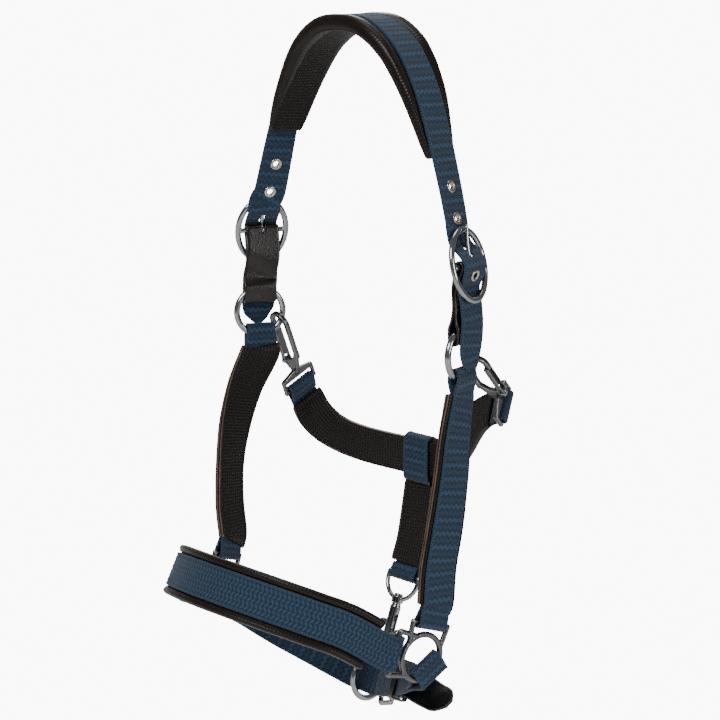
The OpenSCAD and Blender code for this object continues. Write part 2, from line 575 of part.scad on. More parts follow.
// The strap loops over the throatlatch, whose curve adds to the thickness that it spans
throat_sag = 1.9;
jaw_fold_r = (webbing_t + slim_pad_t + throat_sag + webbing_t) / 2 + run;
jaw_top = throat_c + [0, ply - (slim_pad_t + throat_sag) / 2, throat_pad_w / 2 - 2];
jaw_low = jaw_top - [0, 0, throat_pad_w - 2];
jaw_steps = 3;
function jaw_rows() =
  let (up = [0, 0, 1], back = [0, 1, 0], sewn = jaw_low - 11 * up + ply * back,
       t = square_to(sewn - snap_bar, [1, 0, 0]))
  concat([row(jaw_low - 4 * up - 3 * back, -back), row(jaw_low - jaw_fold_r * back, -back)],
         reverse([for (i = [0:4]) let (d = cos(i * 45) * back + sin(i * 45) * up)
           row(jaw_top + jaw_fold_r * d, d)]),
         [row(jaw_low + jaw_fold_r * back, back), row(jaw_low - 6 * up + 3.4 * back, back),
          row(sewn, back)],
         [row(snap_bar + 30 * t + ply * jaw_out, jaw_out), row(snap_bar + 9 * t + ply * jaw_out, jaw_out)],
         fold(snap_bar, t, jaw_out, fold_r, 4),
         [row(snap_bar + 8 * t - ply * jaw_out, -jaw_out)]);
module jaw_webbing() {
  color(webbing_blue) sweep(smooth(jaw_rows(), jaw_steps), band(webbing_w, webbing_t));
}
module jaw_pad() {
  color(pad_brown)
    sweep(part_of(smooth(jaw_rows(), jaw_steps), 8 * jaw_steps + 2, 11 * jaw_steps),
          padding(throat_pad_w, webbing_w + 1.2, slim_pad_t, -webbing_t / 2 - pad_gap, 1.2));
}

// ---------------------------------------------------------------- bolt snap
snap_axis = [1, 0, 0];     // across the snap
eye_leg = 4;
eye_r = webbing_w / 2 + 2.6;
eye_wire = 1.8;
boss_x = eye_leg + eye_r;  // centre of the swivel boss
stem_r = 2;
barrel_a = boss_x + 6.5;   // the barrel starts here
barrel_b = 47;             // and ends here
barrel_r = 4.2;
bolt_r = 2.4;
bolt_top = 36;
bolt_end = 64.8;
bolt_travel = 8;
hook_wire_r = 2.5;
loop_y = -14;
loop_r = 8;
module at_snap() { place(snap_bar, snap_down, snap_axis) children(); }
module rod_x(a, b, r) { translate([a, 0, 0]) rotate([0, 90, 0]) cylinder(r = r, h = b - a); }
module snap_eye() {
  color(chrome) at_snap() difference() {
    union() {
      rotate([90, 0, 0]) cylinder(r = eye_wire, h = 2 * eye_r, center = true);
      for (s = [1, -1]) translate([0, s * eye_r, 0]) {
        sphere(r = eye_wire);
        rotate([0, 90, 0]) cylinder(r = eye_wire, h = eye_leg);
      }
      translate([eye_leg, 0, 0]) wire_arc(eye_r, eye_wire, -90, 180);
      rod_x(boss_x - 2.4, boss_x + 3, 4.6);
    }
    rod_x(boss_x - 6, boss_x + 6, stem_r + 0.15);
  }
}
module snap_body() {
  color(chrome) at_snap() difference() {
    union() {
      rod_x(boss_x - 2.6, barrel_a + 2, stem_r);
      rod_x(boss_x - 4.2, boss_x - 2.6, 3.4);
      rod_x(boss_x + 3.2, barrel_a, 3.6);
      rod_x(barrel_a - 1, barrel_b, barrel_r);
      translate([38, -loop_r + 2, 0]) rotate([-90, 0, 0]) cylinder(r = hook_wire_r, h = 5);
      translate([38 + loop_r, -loop_r + 2, 0]) wire_arc(loop_r, hook_wire_r, 180, 90);
      translate([38 + loop_r, loop_y, 0]) rotate([0, 90, 0]) cylinder(r = hook_wire_r, h = 22 - loop_r);
      translate([60, -loop_r + 2, 0]) wire_arc(loop_r, hook_wire_r, 270, 90);
      translate([60 + loop_r, -loop_r + 2, 0]) rotate([-90, 0, 0]) cylinder(r = hook_wire_r, h = loop_r - 2);
      rod_x(bolt_end - 1.4, 60 + loop_r + 1.6, 3.5);
    }
    rod_x(barrel_a + 1.2, barrel_b + 1, bolt_r + 0.1);
    rod_x(bolt_end - 2, bolt_end + 0.4, bolt_r + 0.2);
    translate([bolt_top - bolt_travel + 2.5, 0, -2.2]) cube([barrel_b - bolt_top + 8, 8, 4.4]);
  }
}
spring_r = 1.15;
spring_wire = 0.28;
module snap_bolt() {
  knob_x = barrel_b - 3;
  color(chrome) at_snap() difference() {
    union() {
      rod_x(bolt_top, bolt_end, bolt_r);
      translate([knob_x, 0, 0]) rotate([-90, 0, 0]) cylinder(r = 1.9, h = 8);
      translate([knob_x, 8.6, 0]) sphere(r = 2.9);
    }
    rod_x(bolt_top - 1, bolt_top + 10.6, spring_r + spring_wire + 0.15);
  }
}
module snap_spring() {
  turns = 12;
  from = barrel_a + 1.6;
  pitch = (bolt_top + 10.2 - bolt_travel - from) / turns;
  color(chrome) at_snap() {
    for (i = [0:turns]) translate([from + i * pitch, 0, 0]) rotate([0, 90, 0]) ring(spring_r, spring_wire);
    translate([0, spring_r, 0]) rod_x(from, from + turns * pitch, 0.16);
  }
}
module lead_ring() {
  color(chrome) translate(lead_ring_c) rotate([0, 90, 0]) ring(ring_r, ring_wire);
}

// ---------------------------------------------------------------- chin strap
x_left = -1.4;             // ends of the two halves beside the lead ring
x_right = 0.6;
// The strap stands on edge under the chin. Both halves loop round the lower back arc of the
// nose fittings, and the leather billet of the right half buckles to the left half.
chin_face = unit([0, 0.94, -0.35]);
billet_t = 2.4;
billet_w = webbing_w - 1.6;
chape_t = 1.6;
chord = sqrt(pow(ring_r - ring_wire, 2) - pow(webbing_w / 2, 2));
chin_c = lead_ring_c - [lead_ring_c[0], 0, 0] - (chord - gap - webbing_t / 2) * chin_face;
fit_out = fitting_dir([1, 0, 0]);
chin_turn = chin_c + [12, 0, 0];
fit_down = unit((chin_turn - fitting_c) - ((chin_turn - fitting_c) * fit_out) * fit_out);
fit_edge = fitting_hole_r + fitting_ring_w;
fit_hold = sqrt(pow(fitting_hole_r, 2) - pow(webbing_w / 2, 2)) - gap;
chin_v = chin_turn - (fitting_c + fit_edge * fit_down);
chin_slope = atan2(-(chin_v * fit_out), chin_v * fit_down);
function in_fit(a, b) = fitting_c + a * fit_down + b * fit_out;
function along_chin(s, h) =
  let (g = gap + webbing_t / 2)
  in_fit(fit_edge + g * sin(chin_slope) + s * cos(chin_slope) + h * sin(chin_slope),
         bar_r + g * cos(chin_slope) - s * sin(chin_slope) + h * cos(chin_slope));
loop_out = sin(chin_slope) * fit_down + cos(chin_slope) * fit_out;
function corner(a, b, turn) =
  let (d = cos(turn) * fit_out + sin(turn) * fit_down, g = gap + webbing_t / 2)
  row(in_fit(a, b) + g * d, d);
loop_l = 24;
// Straight run of each half, measured from its turn beside the lead ring
near_t = unit(along_chin(loop_l, 0) - chin_turn);
near_n = square_to(0.75 * chin_face + 0.25 * loop_out, near_t);
near_w = cross(near_n, near_t);
function near_spot(s, h) = chin_turn + s * near_t + h * near_n;
function chin_rows(x0) =
  concat([row(chin_c + [-x0, 0, 0], chin_face), row(near_spot(0, 0), 0.5 * (chin_face + near_n))],
         [for (s = [10, 30, 45, 50]) row(near_spot(s, 0), near_n)],
         [row(along_chin(loop_l, 0), loop_out), row(along_chin(8, 0), loop_out)],
         [corner(fit_edge, bar_r, chin_slope), corner(fit_edge, bar_r, chin_slope / 2),
          corner(fit_edge, bar_r, 0), corner(fit_hold, bar_r, 0), corner(fit_hold, bar_r, -45),
          corner(fit_hold, bar_r, -90), corner(fit_hold, -bar_r, -90),
          corner(fit_hold, -bar_r, chin_slope - 180)],
         [row(along_chin(13, -6.5), -loop_out), row(along_chin(loop_l, -2 * ply), -loop_out),
          row(along_chin(loop_l + 9, -2 * ply), -loop_out)]);
module chin_webbing(side, x0) {
  color(webbing_blue) side_of(side) sweep(smooth(chin_rows(x0), chin_steps), band(webbing_w, webbing_t));
}

frame_end = -3;            // free end of the buckle frame
frame_bar = 27;            // the buckle bar
frame_half = webbing_w / 2 + 3.6;
frame_wire = 2;
bar_h = webbing_t / 2 + run + bar_r + gap + chape_t;
end_h = webbing_t / 2 + gap + billet_t + 3 * run + frame_wire + 1.1;
over_h = bar_h + bar_r + gap + chape_t + run + billet_t / 2;
chape_h = webbing_t / 2 + gap + chape_t + gap / 2;
flat_h = chape_h + chape_t + gap + 1.8 * run + billet_t / 2;
keeper_s = 40;
keeper_w = 9;
keeper_t = 1.4;
billet_h = webbing_t / 2 + 1.5 * gap + billet_t / 2;
billet_tip = [fitting_c[0] + 9, fitting_c[1] + 20, fitting_c[2] - 38];
billet_face = unit([0.1, 0.55, -0.8]);
chin_steps = 3;
// The billet lies on the right half, then rises over the chape and buckle bar of the left half
billet_from = 4;           // path row of the right half where the billet starts
function billet_rows() =
  let (under = smooth(part_of(chin_rows(x_right), 0, billet_from + 1), chin_steps),
       on_right = [for (i = [billet_from * chin_steps:-1:1]) let (r = flip_row(under[i]), t = heading(under, i))
         row(row_p(r) + billet_h * flip(square_to(row_n(under[i]), t)), row_n(r))],
       over = [row(chin_c + billet_h * chin_face, chin_face),
          row(near_spot(-5, billet_h + 2 * run), near_n + chin_face),
          row(near_spot(frame_end + 4, billet_h + 0.7), near_n),
          row(near_spot((frame_end + frame_bar) / 2, (billet_h + over_h) / 2), near_n),
          row(near_spot(frame_bar, over_h), near_n),
          row(near_spot(frame_bar + 3, over_h), near_n),
          row(near_spot(keeper_s - 3, flat_h), near_n),
          row(near_spot(keeper_s + 4, flat_h), near_n),
          row(near_spot(keeper_s + 11, flat_h), near_n),
          row(billet_tip - 24 * unit([1, -0.28, 0.1]), billet_face, 1),
          row(billet_tip - 9 * unit([1, -0.28, 0.1]), billet_face, 0.9),
          row(billet_tip, billet_face, 0.3)])
  concat(on_right, smooth(over, 4));
module chin_billet() {
  color(leather_black) difference() {
    sweep(billet_rows(), band(billet_w, billet_t));
    place(near_spot((frame_end + frame_bar) / 2, (billet_h + over_h) / 2), near_t, near_w)
      cube([21, 6.4, 16], center = true);
  }
}
module at_near(s, h) { place(near_spot(s, h), near_t, near_w) children(); }
frame_lean = atan2(end_h - bar_h, frame_bar - frame_end);
module chin_buckle() {
  l = (frame_bar - frame_end) / cos(frame_lean);
  c = 5;
  color(chrome) at_near(frame_bar, bar_h) rotate([0, frame_lean, 0]) {
    round_bar([0, -frame_half, 0], [0, frame_half, 0], bar_r);
    for (s = [1, -1]) {
      round_bar([0, s * frame_half, 0], [-l + c, s * frame_half, 0], frame_wire);
      translate([-l + c, s * (frame_half - c), 0]) wire_arc(c, frame_wire, s > 0 ? 90 : 180, 90);
    }
    round_bar([-l, c - frame_half, 0], [-l, frame_half - c, 0], frame_wire);
  }
}
module chin_tongue() {
  l = (frame_bar - frame_end) / cos(frame_lean);
  slope = atan2(frame_wire + tongue_r + 0.15, l);
  color(chrome) at_near(frame_bar, bar_h) rotate([0, frame_lean, 0]) difference() {
    union() {
      rotate([90, 0, 0]) cylinder(r = tongue_eye_r + 1.4, h = 3.2, center = true);
      rotate([0, slope, 0]) translate([-l - 2.4, 0, 0]) rotate([0, 90, 0]) cylinder(r = tongue_r, h = l + 1);
      rotate([0, slope, 0]) translate([-l - 2.4, 0, 0]) sphere(r = tongue_r);
    }
    rotate([90, 0, 0]) cylinder(r = tongue_eye_r, h = 8, center = true);
  }
}
module chin_chape() {
  h = (chape_t + gap) / 2;
  r = bar_r + gap + chape_t / 2;
  top = chape_h + h;
  low = chape_h - h;
  rows = concat([for (s = [5, -4]) row(near_spot(keeper_s + s, top), near_n)],
    [row(near_spot(frame_bar + 2.5, bar_h + r), near_n)],
    reverse(fold(near_spot(frame_bar, bar_h), near_t, -near_n, r)),
    [row(near_spot(frame_bar + 2.5, bar_h - r), -near_n)],
    [for (s = [-4, 5]) row(near_spot(keeper_s + s, low), -near_n)]);
  color(leather_black) difference() {
    sweep(rows, band(webbing_w, chape_t));
    at_near(frame_bar, bar_h) cube([13, 4, 14], center = true);
  }
}
module chin_keeper() {
  low = -webbing_t / 2 - 2 * run - keeper_t / 2;
  high = flat_h + billet_t / 2 + 1.6 * run + keeper_t / 2;
  half = webbing_w / 2 + 3 * run + keeper_t / 2 + 0.2;
  color(leather_black) at_near(keeper_s + 3, 0) rotate([0, 90, 0]) rotate([0, 0, 90])
    flat(keeper_w) difference() {
      translate([-half - keeper_t / 2, low - keeper_t / 2])
        square([2 * half + keeper_t, high - low + keeper_t]);
      translate([-half + keeper_t / 2, low + keeper_t / 2])
        square([2 * half - keeper_t, high - low - keeper_t]);
    }
}

crown_webbing();
crown_pad();
crown_eyelets(1, yaw_left);  // crown_eyelets_left
crown_eyelets(-1, yaw_right);  // crown_eyelets_right
crown_buckle(1, yaw_left);  // crown_buckle_left
crown_buckle(-1, yaw_right);  // crown_buckle_right
crown_tongue(1, yaw_left);  // crown_tongue_left
crown_tongue(-1, yaw_right);  // crown_tongue_right
buckle_chape(1, yaw_left);  // buckle_chape_left
buckle_chape(-1, yaw_right);  // buckle_chape_right
cheek_ring(1, yaw_left);  // cheek_ring_left
cheek_ring(-1, yaw_right);  // cheek_ring_right
cheek_webbing(1, yaw_left, bow_left);  // cheek_webbing_left
cheek_webbing(-1, yaw_right, bow_right);  // cheek_webbing_right
cheek_pad(1, yaw_left, bow_left);  // cheek_pad_left
cheek_pad(-1, yaw_right, bow_right);  // cheek_pad_right
nose_fitting(1);  // nose_fitting_left
nose_fitting(-1);  // nose_fitting_right
noseband_webbing();
noseband_pad();
lead_ring();
throat_webbing();
throat_pad();
throat_hook(1, hook_left);  // throat_hook_left
throat_hook(-1, hook_right);  // throat_hook_right
throat_gate(1, hook_left);  // throat_gate_left
throat_gate(-1, hook_right);  // throat_gate_right
gate_pin(1, hook_left);  // gate_pin_left
gate_pin(-1, hook_right);  // gate_pin_right
gate_spring(1, hook_left);  // gate_spring_left
gate_spring(-1, hook_right);  // gate_spring_right
jaw_webbing();
jaw_pad();
snap_eye();
snap_body();
snap_bolt();
snap_spring();
chin_webbing(1, x_left);  // chin_webbing_left
chin_webbing(-1, x_right);  // chin_webbing_right
chin_billet();
chin_chape();
chin_buckle();
chin_tongue();
chin_keeper();
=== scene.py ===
"""Looks of a padded webbing head halter, built around its CAD frame."""

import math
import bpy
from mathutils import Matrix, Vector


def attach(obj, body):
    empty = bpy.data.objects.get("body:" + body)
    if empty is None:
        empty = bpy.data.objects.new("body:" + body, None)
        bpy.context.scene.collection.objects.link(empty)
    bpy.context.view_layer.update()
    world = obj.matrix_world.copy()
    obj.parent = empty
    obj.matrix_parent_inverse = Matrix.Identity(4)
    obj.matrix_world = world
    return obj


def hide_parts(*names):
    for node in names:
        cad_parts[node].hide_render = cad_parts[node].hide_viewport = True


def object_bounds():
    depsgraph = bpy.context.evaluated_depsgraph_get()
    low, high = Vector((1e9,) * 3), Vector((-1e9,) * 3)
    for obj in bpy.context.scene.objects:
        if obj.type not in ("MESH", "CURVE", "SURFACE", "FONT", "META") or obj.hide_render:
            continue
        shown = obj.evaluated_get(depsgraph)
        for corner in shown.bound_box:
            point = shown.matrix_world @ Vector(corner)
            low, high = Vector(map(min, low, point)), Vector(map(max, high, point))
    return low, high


bl_info = {
    "name": "Head halter",
    "version": (1, 0, 0),
    "blender": (4, 5, 0),
    "location": "View3D > Sidebar > Halter",
    "description": "Builds the straps, pads, leather and fittings of a head halter",
    "category": "Add Mesh",
}

import bpy
import numpy as np
from mathutils import Vector

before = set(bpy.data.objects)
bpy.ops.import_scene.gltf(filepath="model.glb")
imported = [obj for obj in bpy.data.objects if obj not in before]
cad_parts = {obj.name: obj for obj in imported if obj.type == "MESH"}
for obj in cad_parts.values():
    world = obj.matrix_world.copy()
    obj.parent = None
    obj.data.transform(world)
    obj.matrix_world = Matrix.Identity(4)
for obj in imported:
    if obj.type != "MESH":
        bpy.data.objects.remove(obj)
CAD_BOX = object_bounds()
MM = 0.001

# ---------------------------------------------------------------- sizes, in millimetres
HALF_W, CROWN_DROP, CHEEK_DROP, FITTING_AHEAD = 104, 216, 210, 42
NOSE_REACH, NOSE_RISE, CHIN_BACK, CHIN_DROP = 78, 45, 51, 62
THROAT_BACK, THROAT_DROP = 71, 109
YAW = {1: 8, -1: 28}
BOW = {1: 4, -1: 12}
WEB_W, WEB_T, LEATHER_T = 25, 2.4, 2
CROWN_PAD_W, CROWN_PAD_T, NOSE_PAD_W, NOSE_PAD_T = 50, 9, 38, 6
SLIM_PAD_W, SLIM_PAD_T = 28, 4
RING_R, RING_WIRE = 18, 2.4
BUCKLE_A, BUCKLE_B, BUCKLE_WIRE, BAR_R = 24.5, 18.6, 2.3, 2
HOLE_PITCH, HOOK_LEN = 21, 60
GAP, RUN, PAD_GAP = 0.2, 0.3, 0.15
PLY = WEB_T / 2 + GAP
PAD_TOP = -WEB_T / 2 - PAD_GAP
FOLD_R = BAR_R + GAP + WEB_T / 2
RING_FOLD_R = RING_WIRE + GAP + WEB_T / 2
RETURN = 10
SIDES = ((1, "left"), (-1, "right"))
UP, DOWN, BACK = np.array([0, 0, 1.0]), np.array([0, 0, -1.0]), np.array([0, 1.0, 0])


# ---------------------------------------------------------------- vectors and paths
def vec(*a):
    return np.array(a, float)


def unit(v):
    v = np.asarray(v, float)
    return v / np.linalg.norm(v)


def square_to(v, t):
    v = np.asarray(v, float)
    return unit(v - np.dot(v, t) * t)


def sind(a):
    return math.sin(math.radians(a))


def cosd(a):
    return math.cos(math.radians(a))


def turn_x(a, v):
    return vec(v[0], v[1] * cosd(a) - v[2] * sind(a), v[1] * sind(a) + v[2] * cosd(a))


def turn_z(a, v):
    return vec(v[0] * cosd(a) - v[1] * sind(a), v[0] * sind(a) + v[1] * cosd(a), v[2])


def row(p, n, ws=1.0, ts=1.0):
    """A point of a strap path: place, outward normal, width and thickness factors."""
    return np.concatenate([np.asarray(p, float), np.asarray(n, float), [ws, ts]])


def mirrored(rows):
    rows = np.array(rows, float)
    rows[:, 0] *= -1
    rows[:, 3] *= -1
    return rows


def on_side(side, rows):
    return np.array(rows, float) if side > 0 else mirrored(rows)


def both_sides(left, right):
    return np.concatenate([np.array(left)[::-1], mirrored(right)[1:]])


def spline(a, b, c, d, t):
    """Catmull-Rom curve from b to c, t running from 0 to 1."""
    return 0.5 * (2 * b + (c - a) * t + (2 * a - 5 * b + 4 * c - d) * t * t
                  + (3 * b - a - 3 * c + d) * t ** 3)


def smooth(rows, n):
    """The curve through the path points, n steps between two of them."""
    rows = np.asarray(rows, float)
    m = len(rows)
    i = np.repeat(np.arange(m - 1), n)
    t = np.tile(np.arange(n) / n, m - 1)[:, None]
    a, b = rows[np.maximum(i - 1, 0)], rows[i]
    c, d = rows[i + 1], rows[np.minimum(i + 2, m - 1)]
    return np.concatenate([spline(a, b, c, d, t), rows[-1:]])


def fold(bar, away, out, r, n=8):
    """Half a turn round a bar, from the outer ply to the inner ply."""
    return [row(bar + r * d, d) for d in
            (math.cos(i * math.pi / n) * out - math.sin(i * math.pi / n) * away
             for i in range(n + 1))]


def lengths(points):
    step = np.linalg.norm(np.diff(points, axis=0), axis=1)
    return np.concatenate([[0], np.cumsum(step)])


def even(rows, ds):
    """Rows spaced evenly along the strap, with their distance from its start."""
    s = lengths(rows[:, :3])
    at = np.linspace(0, s[-1], max(2, int(round(s[-1] / ds)) + 1))
    return np.stack([np.interp(at, s, rows[:, k]) for k in range(8)], 1), at


def headings(p, closed):
    t = np.roll(p, -1, 0) - np.roll(p, 1, 0) if closed else np.gradient(p, axis=0)
    return t / np.linalg.norm(t, axis=1)[:, None]


def axes_of(rows, closed=False):
    """Heading, outward normal and width direction of every row."""
    t = headings(rows[:, :3], closed)
    n = rows[:, 3:6] - np.sum(rows[:, 3:6] * t, 1)[:, None] * t
    n /= np.linalg.norm(n, axis=1)[:, None]
    return t, n, np.cross(n, t)


# ---------------------------------------------------------------- meshes
def add_mesh(name, verts, faces, material, attributes=(), flat_faces=()):
    mesh = bpy.data.meshes.new(name)
    mesh.from_pydata((np.asarray(verts) * MM).tolist(), [], [tuple(f) for f in faces])
    smooth_flags = np.ones(len(mesh.polygons), bool)
    smooth_flags[list(flat_faces)] = False
    mesh.polygons.foreach_set("use_smooth", smooth_flags)
    for label, values in attributes:
        layer = mesh.attributes.new(label, "FLOAT", "POINT")
        layer.data.foreach_set("value", np.asarray(values, np.float32))
    mesh.materials.append(material)
    mesh.update()
    obj = bpy.data.objects.new(name, mesh)
    bpy.context.scene.collection.objects.link(obj)
    return obj


def grid_faces(m, k, closed=False):
    i = np.arange(m if closed else m - 1)[:, None]
    j = np.arange(k)[None, :]
    a, b = i * k + j, i * k + (j + 1) % k
    c, d = ((i + 1) % m) * k + (j + 1) % k, ((i + 1) % m) * k + j
    return np.stack([a, b, c, d], -1).reshape(-1, 4)


def end_faces(m, k):
    """The two faces that close a grid of m rings with k corners each."""
    return [tuple(range(k))[::-1], tuple((m - 1) * k + np.arange(k))]


def corded(h, s, x, start, soft):
    """The weave height h, with the strap's corded edge from start outwards."""
    edge = np.clip((np.abs(x) - start) / soft, 0, 1)
    cord = 0.55 + 0.45 * np.cos(2 * np.pi * s / 2.0)
    return h * (1 - edge) + cord * edge


def chevrons(s, x, width):
    """Height of the strap weave: wavy rows across the strap, every second one prouder."""
    wave = np.abs((x / 4.2) % 1 - 0.5) * 2
    phase = s / 4.8 + 0.40 * wave
    ridge = 0.5 + 0.5 * np.cos(2 * np.pi * phase)
    strong = 0.78 + 0.22 * np.cos(np.pi * phase)
    knot = 0.5 + 0.5 * np.cos(2 * np.pi * x / 2.1)
    h = ridge ** 0.6 * strong * (0.66 + 0.34 * knot)
    return corded(h, s, x, width / 2 - 2.2, 0.8)


def basket(s, x, width):
    """Height of the noseband weave: short strands that lean one way and then the other."""
    wave = np.abs((x / 6.6) % 1 - 0.5) * 2
    phase = s / 3.3 + 0.62 * wave
    turn = np.minimum(wave, 1 - wave) * 3.3
    h = (0.5 + 0.5 * np.cos(2 * np.pi * phase)) ** 0.8 * (1 - 0.75 * np.exp(-(turn / 0.45) ** 2))
    return corded(h, s, x, width / 2 - 2.0, 0.7)


def plain(s, x, _):
    return np.ones(np.broadcast(s, x).shape)


def ribbon(name, rows, width, thick, material, weave=plain, depth=0.0, holes=(),
           closed=False, ds=0.7, dx=0.7):
    """A strap with rounded edges, woven faces on both sides and holes with walls.

    Every hole is (distance along the strap, across, half length, half width)."""
    if closed:
        rows = np.concatenate([rows, rows[:1]])
    rows, s = even(rows, ds)
    if closed:
        rows, s = rows[:-1], s[:-1]
    _, n, w = axes_of(rows, closed)
    m = len(rows)
    edge_r = thick / 2 * 0.96
    cols = max(3, int(round((width - 2 * edge_r) / dx)) + 1)
    x = np.linspace(-(width / 2 - edge_r), width / 2 - edge_r, cols)
    h = weave(s[:, None], x[None, :], width)
    y = thick / 2 - depth * (1 - h)
    arc = np.radians([60, 30, 0, -30, -60])
    ex, ey = np.cos(arc) * edge_r, np.sin(arc) * edge_r
    one = np.ones(m)[:, None]
    xs = np.hstack([one * x, one * (x[-1] + ex), one * x[::-1], one * (x[0] - ex)])
    ys = np.hstack([y, one * ey, -y[:, ::-1], -one * ey])
    # The rounded edges are not shaped by this cord relief; it only reaches the colour, as painted
    # shade and painted highlight of cords along the edge.
    side_h = (0.45 + 0.4 * np.cos(2 * np.pi * s / 2.0))[:, None] * np.ones(len(arc))
    relief = np.hstack([h, side_h, h[:, ::-1], side_h])
    k = xs.shape[1]
    verts = (rows[:, None, :3] + w[:, None] * (xs * rows[:, 6:7])[..., None]
             + n[:, None] * (ys * rows[:, 7:8])[..., None]).reshape(-1, 3)
    faces = grid_faces(m, k, closed)
    keep = np.ones(len(faces), bool)
    walls = []
    top = lambda i, j: i * k + j
    low = lambda i, j: i * k + cols + len(arc) + (cols - 1 - j)
    for hs, hx, half_s, half_x in holes:
        cs, cx = (s[:-1] + s[1:]) / 2, (x[:-1] + x[1:]) / 2
        inside = (((cs[:, None] - hs) / half_s) ** 2 + ((cx[None, :] - hx) / half_x) ** 2) < 1
        for i, j in zip(*np.nonzero(inside)):
            keep[i * k + j] = False
            keep[i * k + cols + len(arc) + (cols - 2 - j)] = False
            for (di, dj), (p, q) in (((-1, 0), ((i, j), (i, j + 1))),
                                     ((1, 0), ((i + 1, j + 1), (i + 1, j))),
                                     ((0, -1), ((i + 1, j), (i, j))),
                                     ((0, 1), ((i, j + 1), (i + 1, j + 1)))):
                if not inside[i + di, j + dj]:
                    walls.append((top(*p), top(*q), low(*q), low(*p)))
    faces = [tuple(f) for f in faces[keep]] + walls
    caps = []
    if not closed:
        caps = [len(faces), len(faces) + 1]
        faces += end_faces(m, k)
    attributes = [("relief", relief.ravel()), ("along", np.repeat(s, k)),
                  ("across", xs.ravel())]
    return add_mesh(name, verts, faces, material, attributes, caps)


def pad_ring(width, seat, t, top, rise, count=84):
    """Closed outline of a pad: flat seat, rolled edges and a stitched channel inside each."""
    e, st = width / 2, seat / 2
    m, b = (e + st) / 2, top - t
    half = [(0, top), (st * 0.5, top), (st - 0.2, top), (st + 0.15, top + rise * 0.45),
            (m, top + rise), (e - (e - st) * 0.14, top + rise * 0.62), (e, top - t * 0.42),
            (e - (e - st) * 0.16, b + t * 0.15), (m, b), (st + 0.3, b + 0.25),
            (st - 0.5, b + 0.95), (st - 1.5, b + 0.35), (st * 0.55, b + 0.05), (0, b)]
    ring = np.array(half + [(-x, y) for x, y in half[-2:0:-1]])
    m = len(ring)
    i = np.repeat(np.arange(m), 8)
    u = np.tile(np.arange(8) / 8, m)[:, None]
    fine = spline(ring[i - 1], ring[i], ring[(i + 1) % m], ring[(i + 2) % m], u)
    fine = np.concatenate([fine, fine[:1]])
    s = lengths(fine)
    at = np.linspace(0, s[-1], count + 1)[:-1]
    return np.stack([np.interp(at, s, fine[:, 0]), np.interp(at, s, fine[:, 1])], 1)


def pad(name, rows, width, seat, t, material, rise, taper=None, seed=1, puckers=0.16):
    """Padding sewn under a strap, with rounded ends and soft unevenness in its rolls."""
    rows, s = even(rows, 1.1)
    _, n, w = axes_of(rows)
    total = s[-1]
    rng = np.random.default_rng(seed)
    knots = np.linspace(0, total, max(4, int(total / 9)))
    left, right = (np.interp(s, knots, rng.normal(0, 1, len(knots))) for _ in range(2))
    end = np.clip(np.minimum(s, total - s) / 2.6, 0, 1)
    round_end = 0.35 + 0.65 * np.sqrt(1 - (1 - end) ** 2)
    verts, panel, across = [], [], []
    for i in range(len(rows)):
        k = taper(abs(2 * s[i] / total - 1)) if taper else 1.0
        ring = pad_ring(width * k, min(seat, 0.9 * width * k), t * k, PAD_TOP, rise * k * k)
        mid = PAD_TOP - t * k / 2
        x, y = ring[:, 0].copy(), ring[:, 1].copy()
        rolls = np.clip((np.abs(x) - seat / 2) / 2.0, 0, 1)
        uneven = np.where(x > 0, right[i], left[i])
        y += rolls * puckers * uneven * np.where(y > mid, 0.5, -0.5)
        x *= 1 - 0.02 * (1 - end[i])
        y = mid + (y - mid) * round_end[i]
        verts.append(rows[i, :3] + np.outer(x, w[i]) + np.outer(y, n[i]))
        panel.append(1 - np.clip((np.abs(x) - (seat / 2 - 1.8)) / 1.2, 0, 1))
        across.append(x)
    m, k = len(rows), len(verts[0])
    faces = [tuple(f) for f in grid_faces(m, k)]
    caps = [len(faces), len(faces) + 1]
    faces += end_faces(m, k)
    attributes = [("panel", np.concatenate(panel)), ("along", np.repeat(s, k)),
                  ("across", np.concatenate(across))]
    return add_mesh(name, np.concatenate(verts), faces, material, attributes, caps)


def tube(points, radius, closed=False, sides=14, squash=1.0, normal=None):
    """Vertices and faces of a round wire. radius may be one number or one for each point."""
    p = np.asarray(points, float)
    t = headings(p, closed)
    r = np.broadcast_to(radius, len(p))
    if normal is not None:
        u = np.cross(t, normal)
    else:
        seed = np.array([0, 0, 1.0]) if abs(t[0][2]) < 0.8 else np.array([1.0, 0, 0])
        u = [square_to(seed, t[0])]
        for i in range(1, len(p)):
            u.append(square_to(u[-1], t[i]))
        u = np.array(u)
    u = u / np.linalg.norm(u, axis=1)[:, None]
    v = np.cross(t, u)
    a = np.linspace(0, 2 * np.pi, sides, endpoint=False)
    ring = (np.cos(a)[None, :, None] * u[:, None] + squash * np.sin(a)[None, :, None] * v[:, None])
    verts = (p[:, None] + r[:, None, None] * ring).reshape(-1, 3)
    faces = [tuple(f) for f in grid_faces(len(p), sides, closed)]
    if not closed:
        faces += end_faces(len(p), sides)
    return verts, faces


def joined(parts):
    verts, faces, base = [], [], 0
    for v, f in parts:
        verts.append(v)
        faces += [tuple(int(i) + base for i in face) for face in f]
        base += len(v)
    return np.concatenate(verts), faces


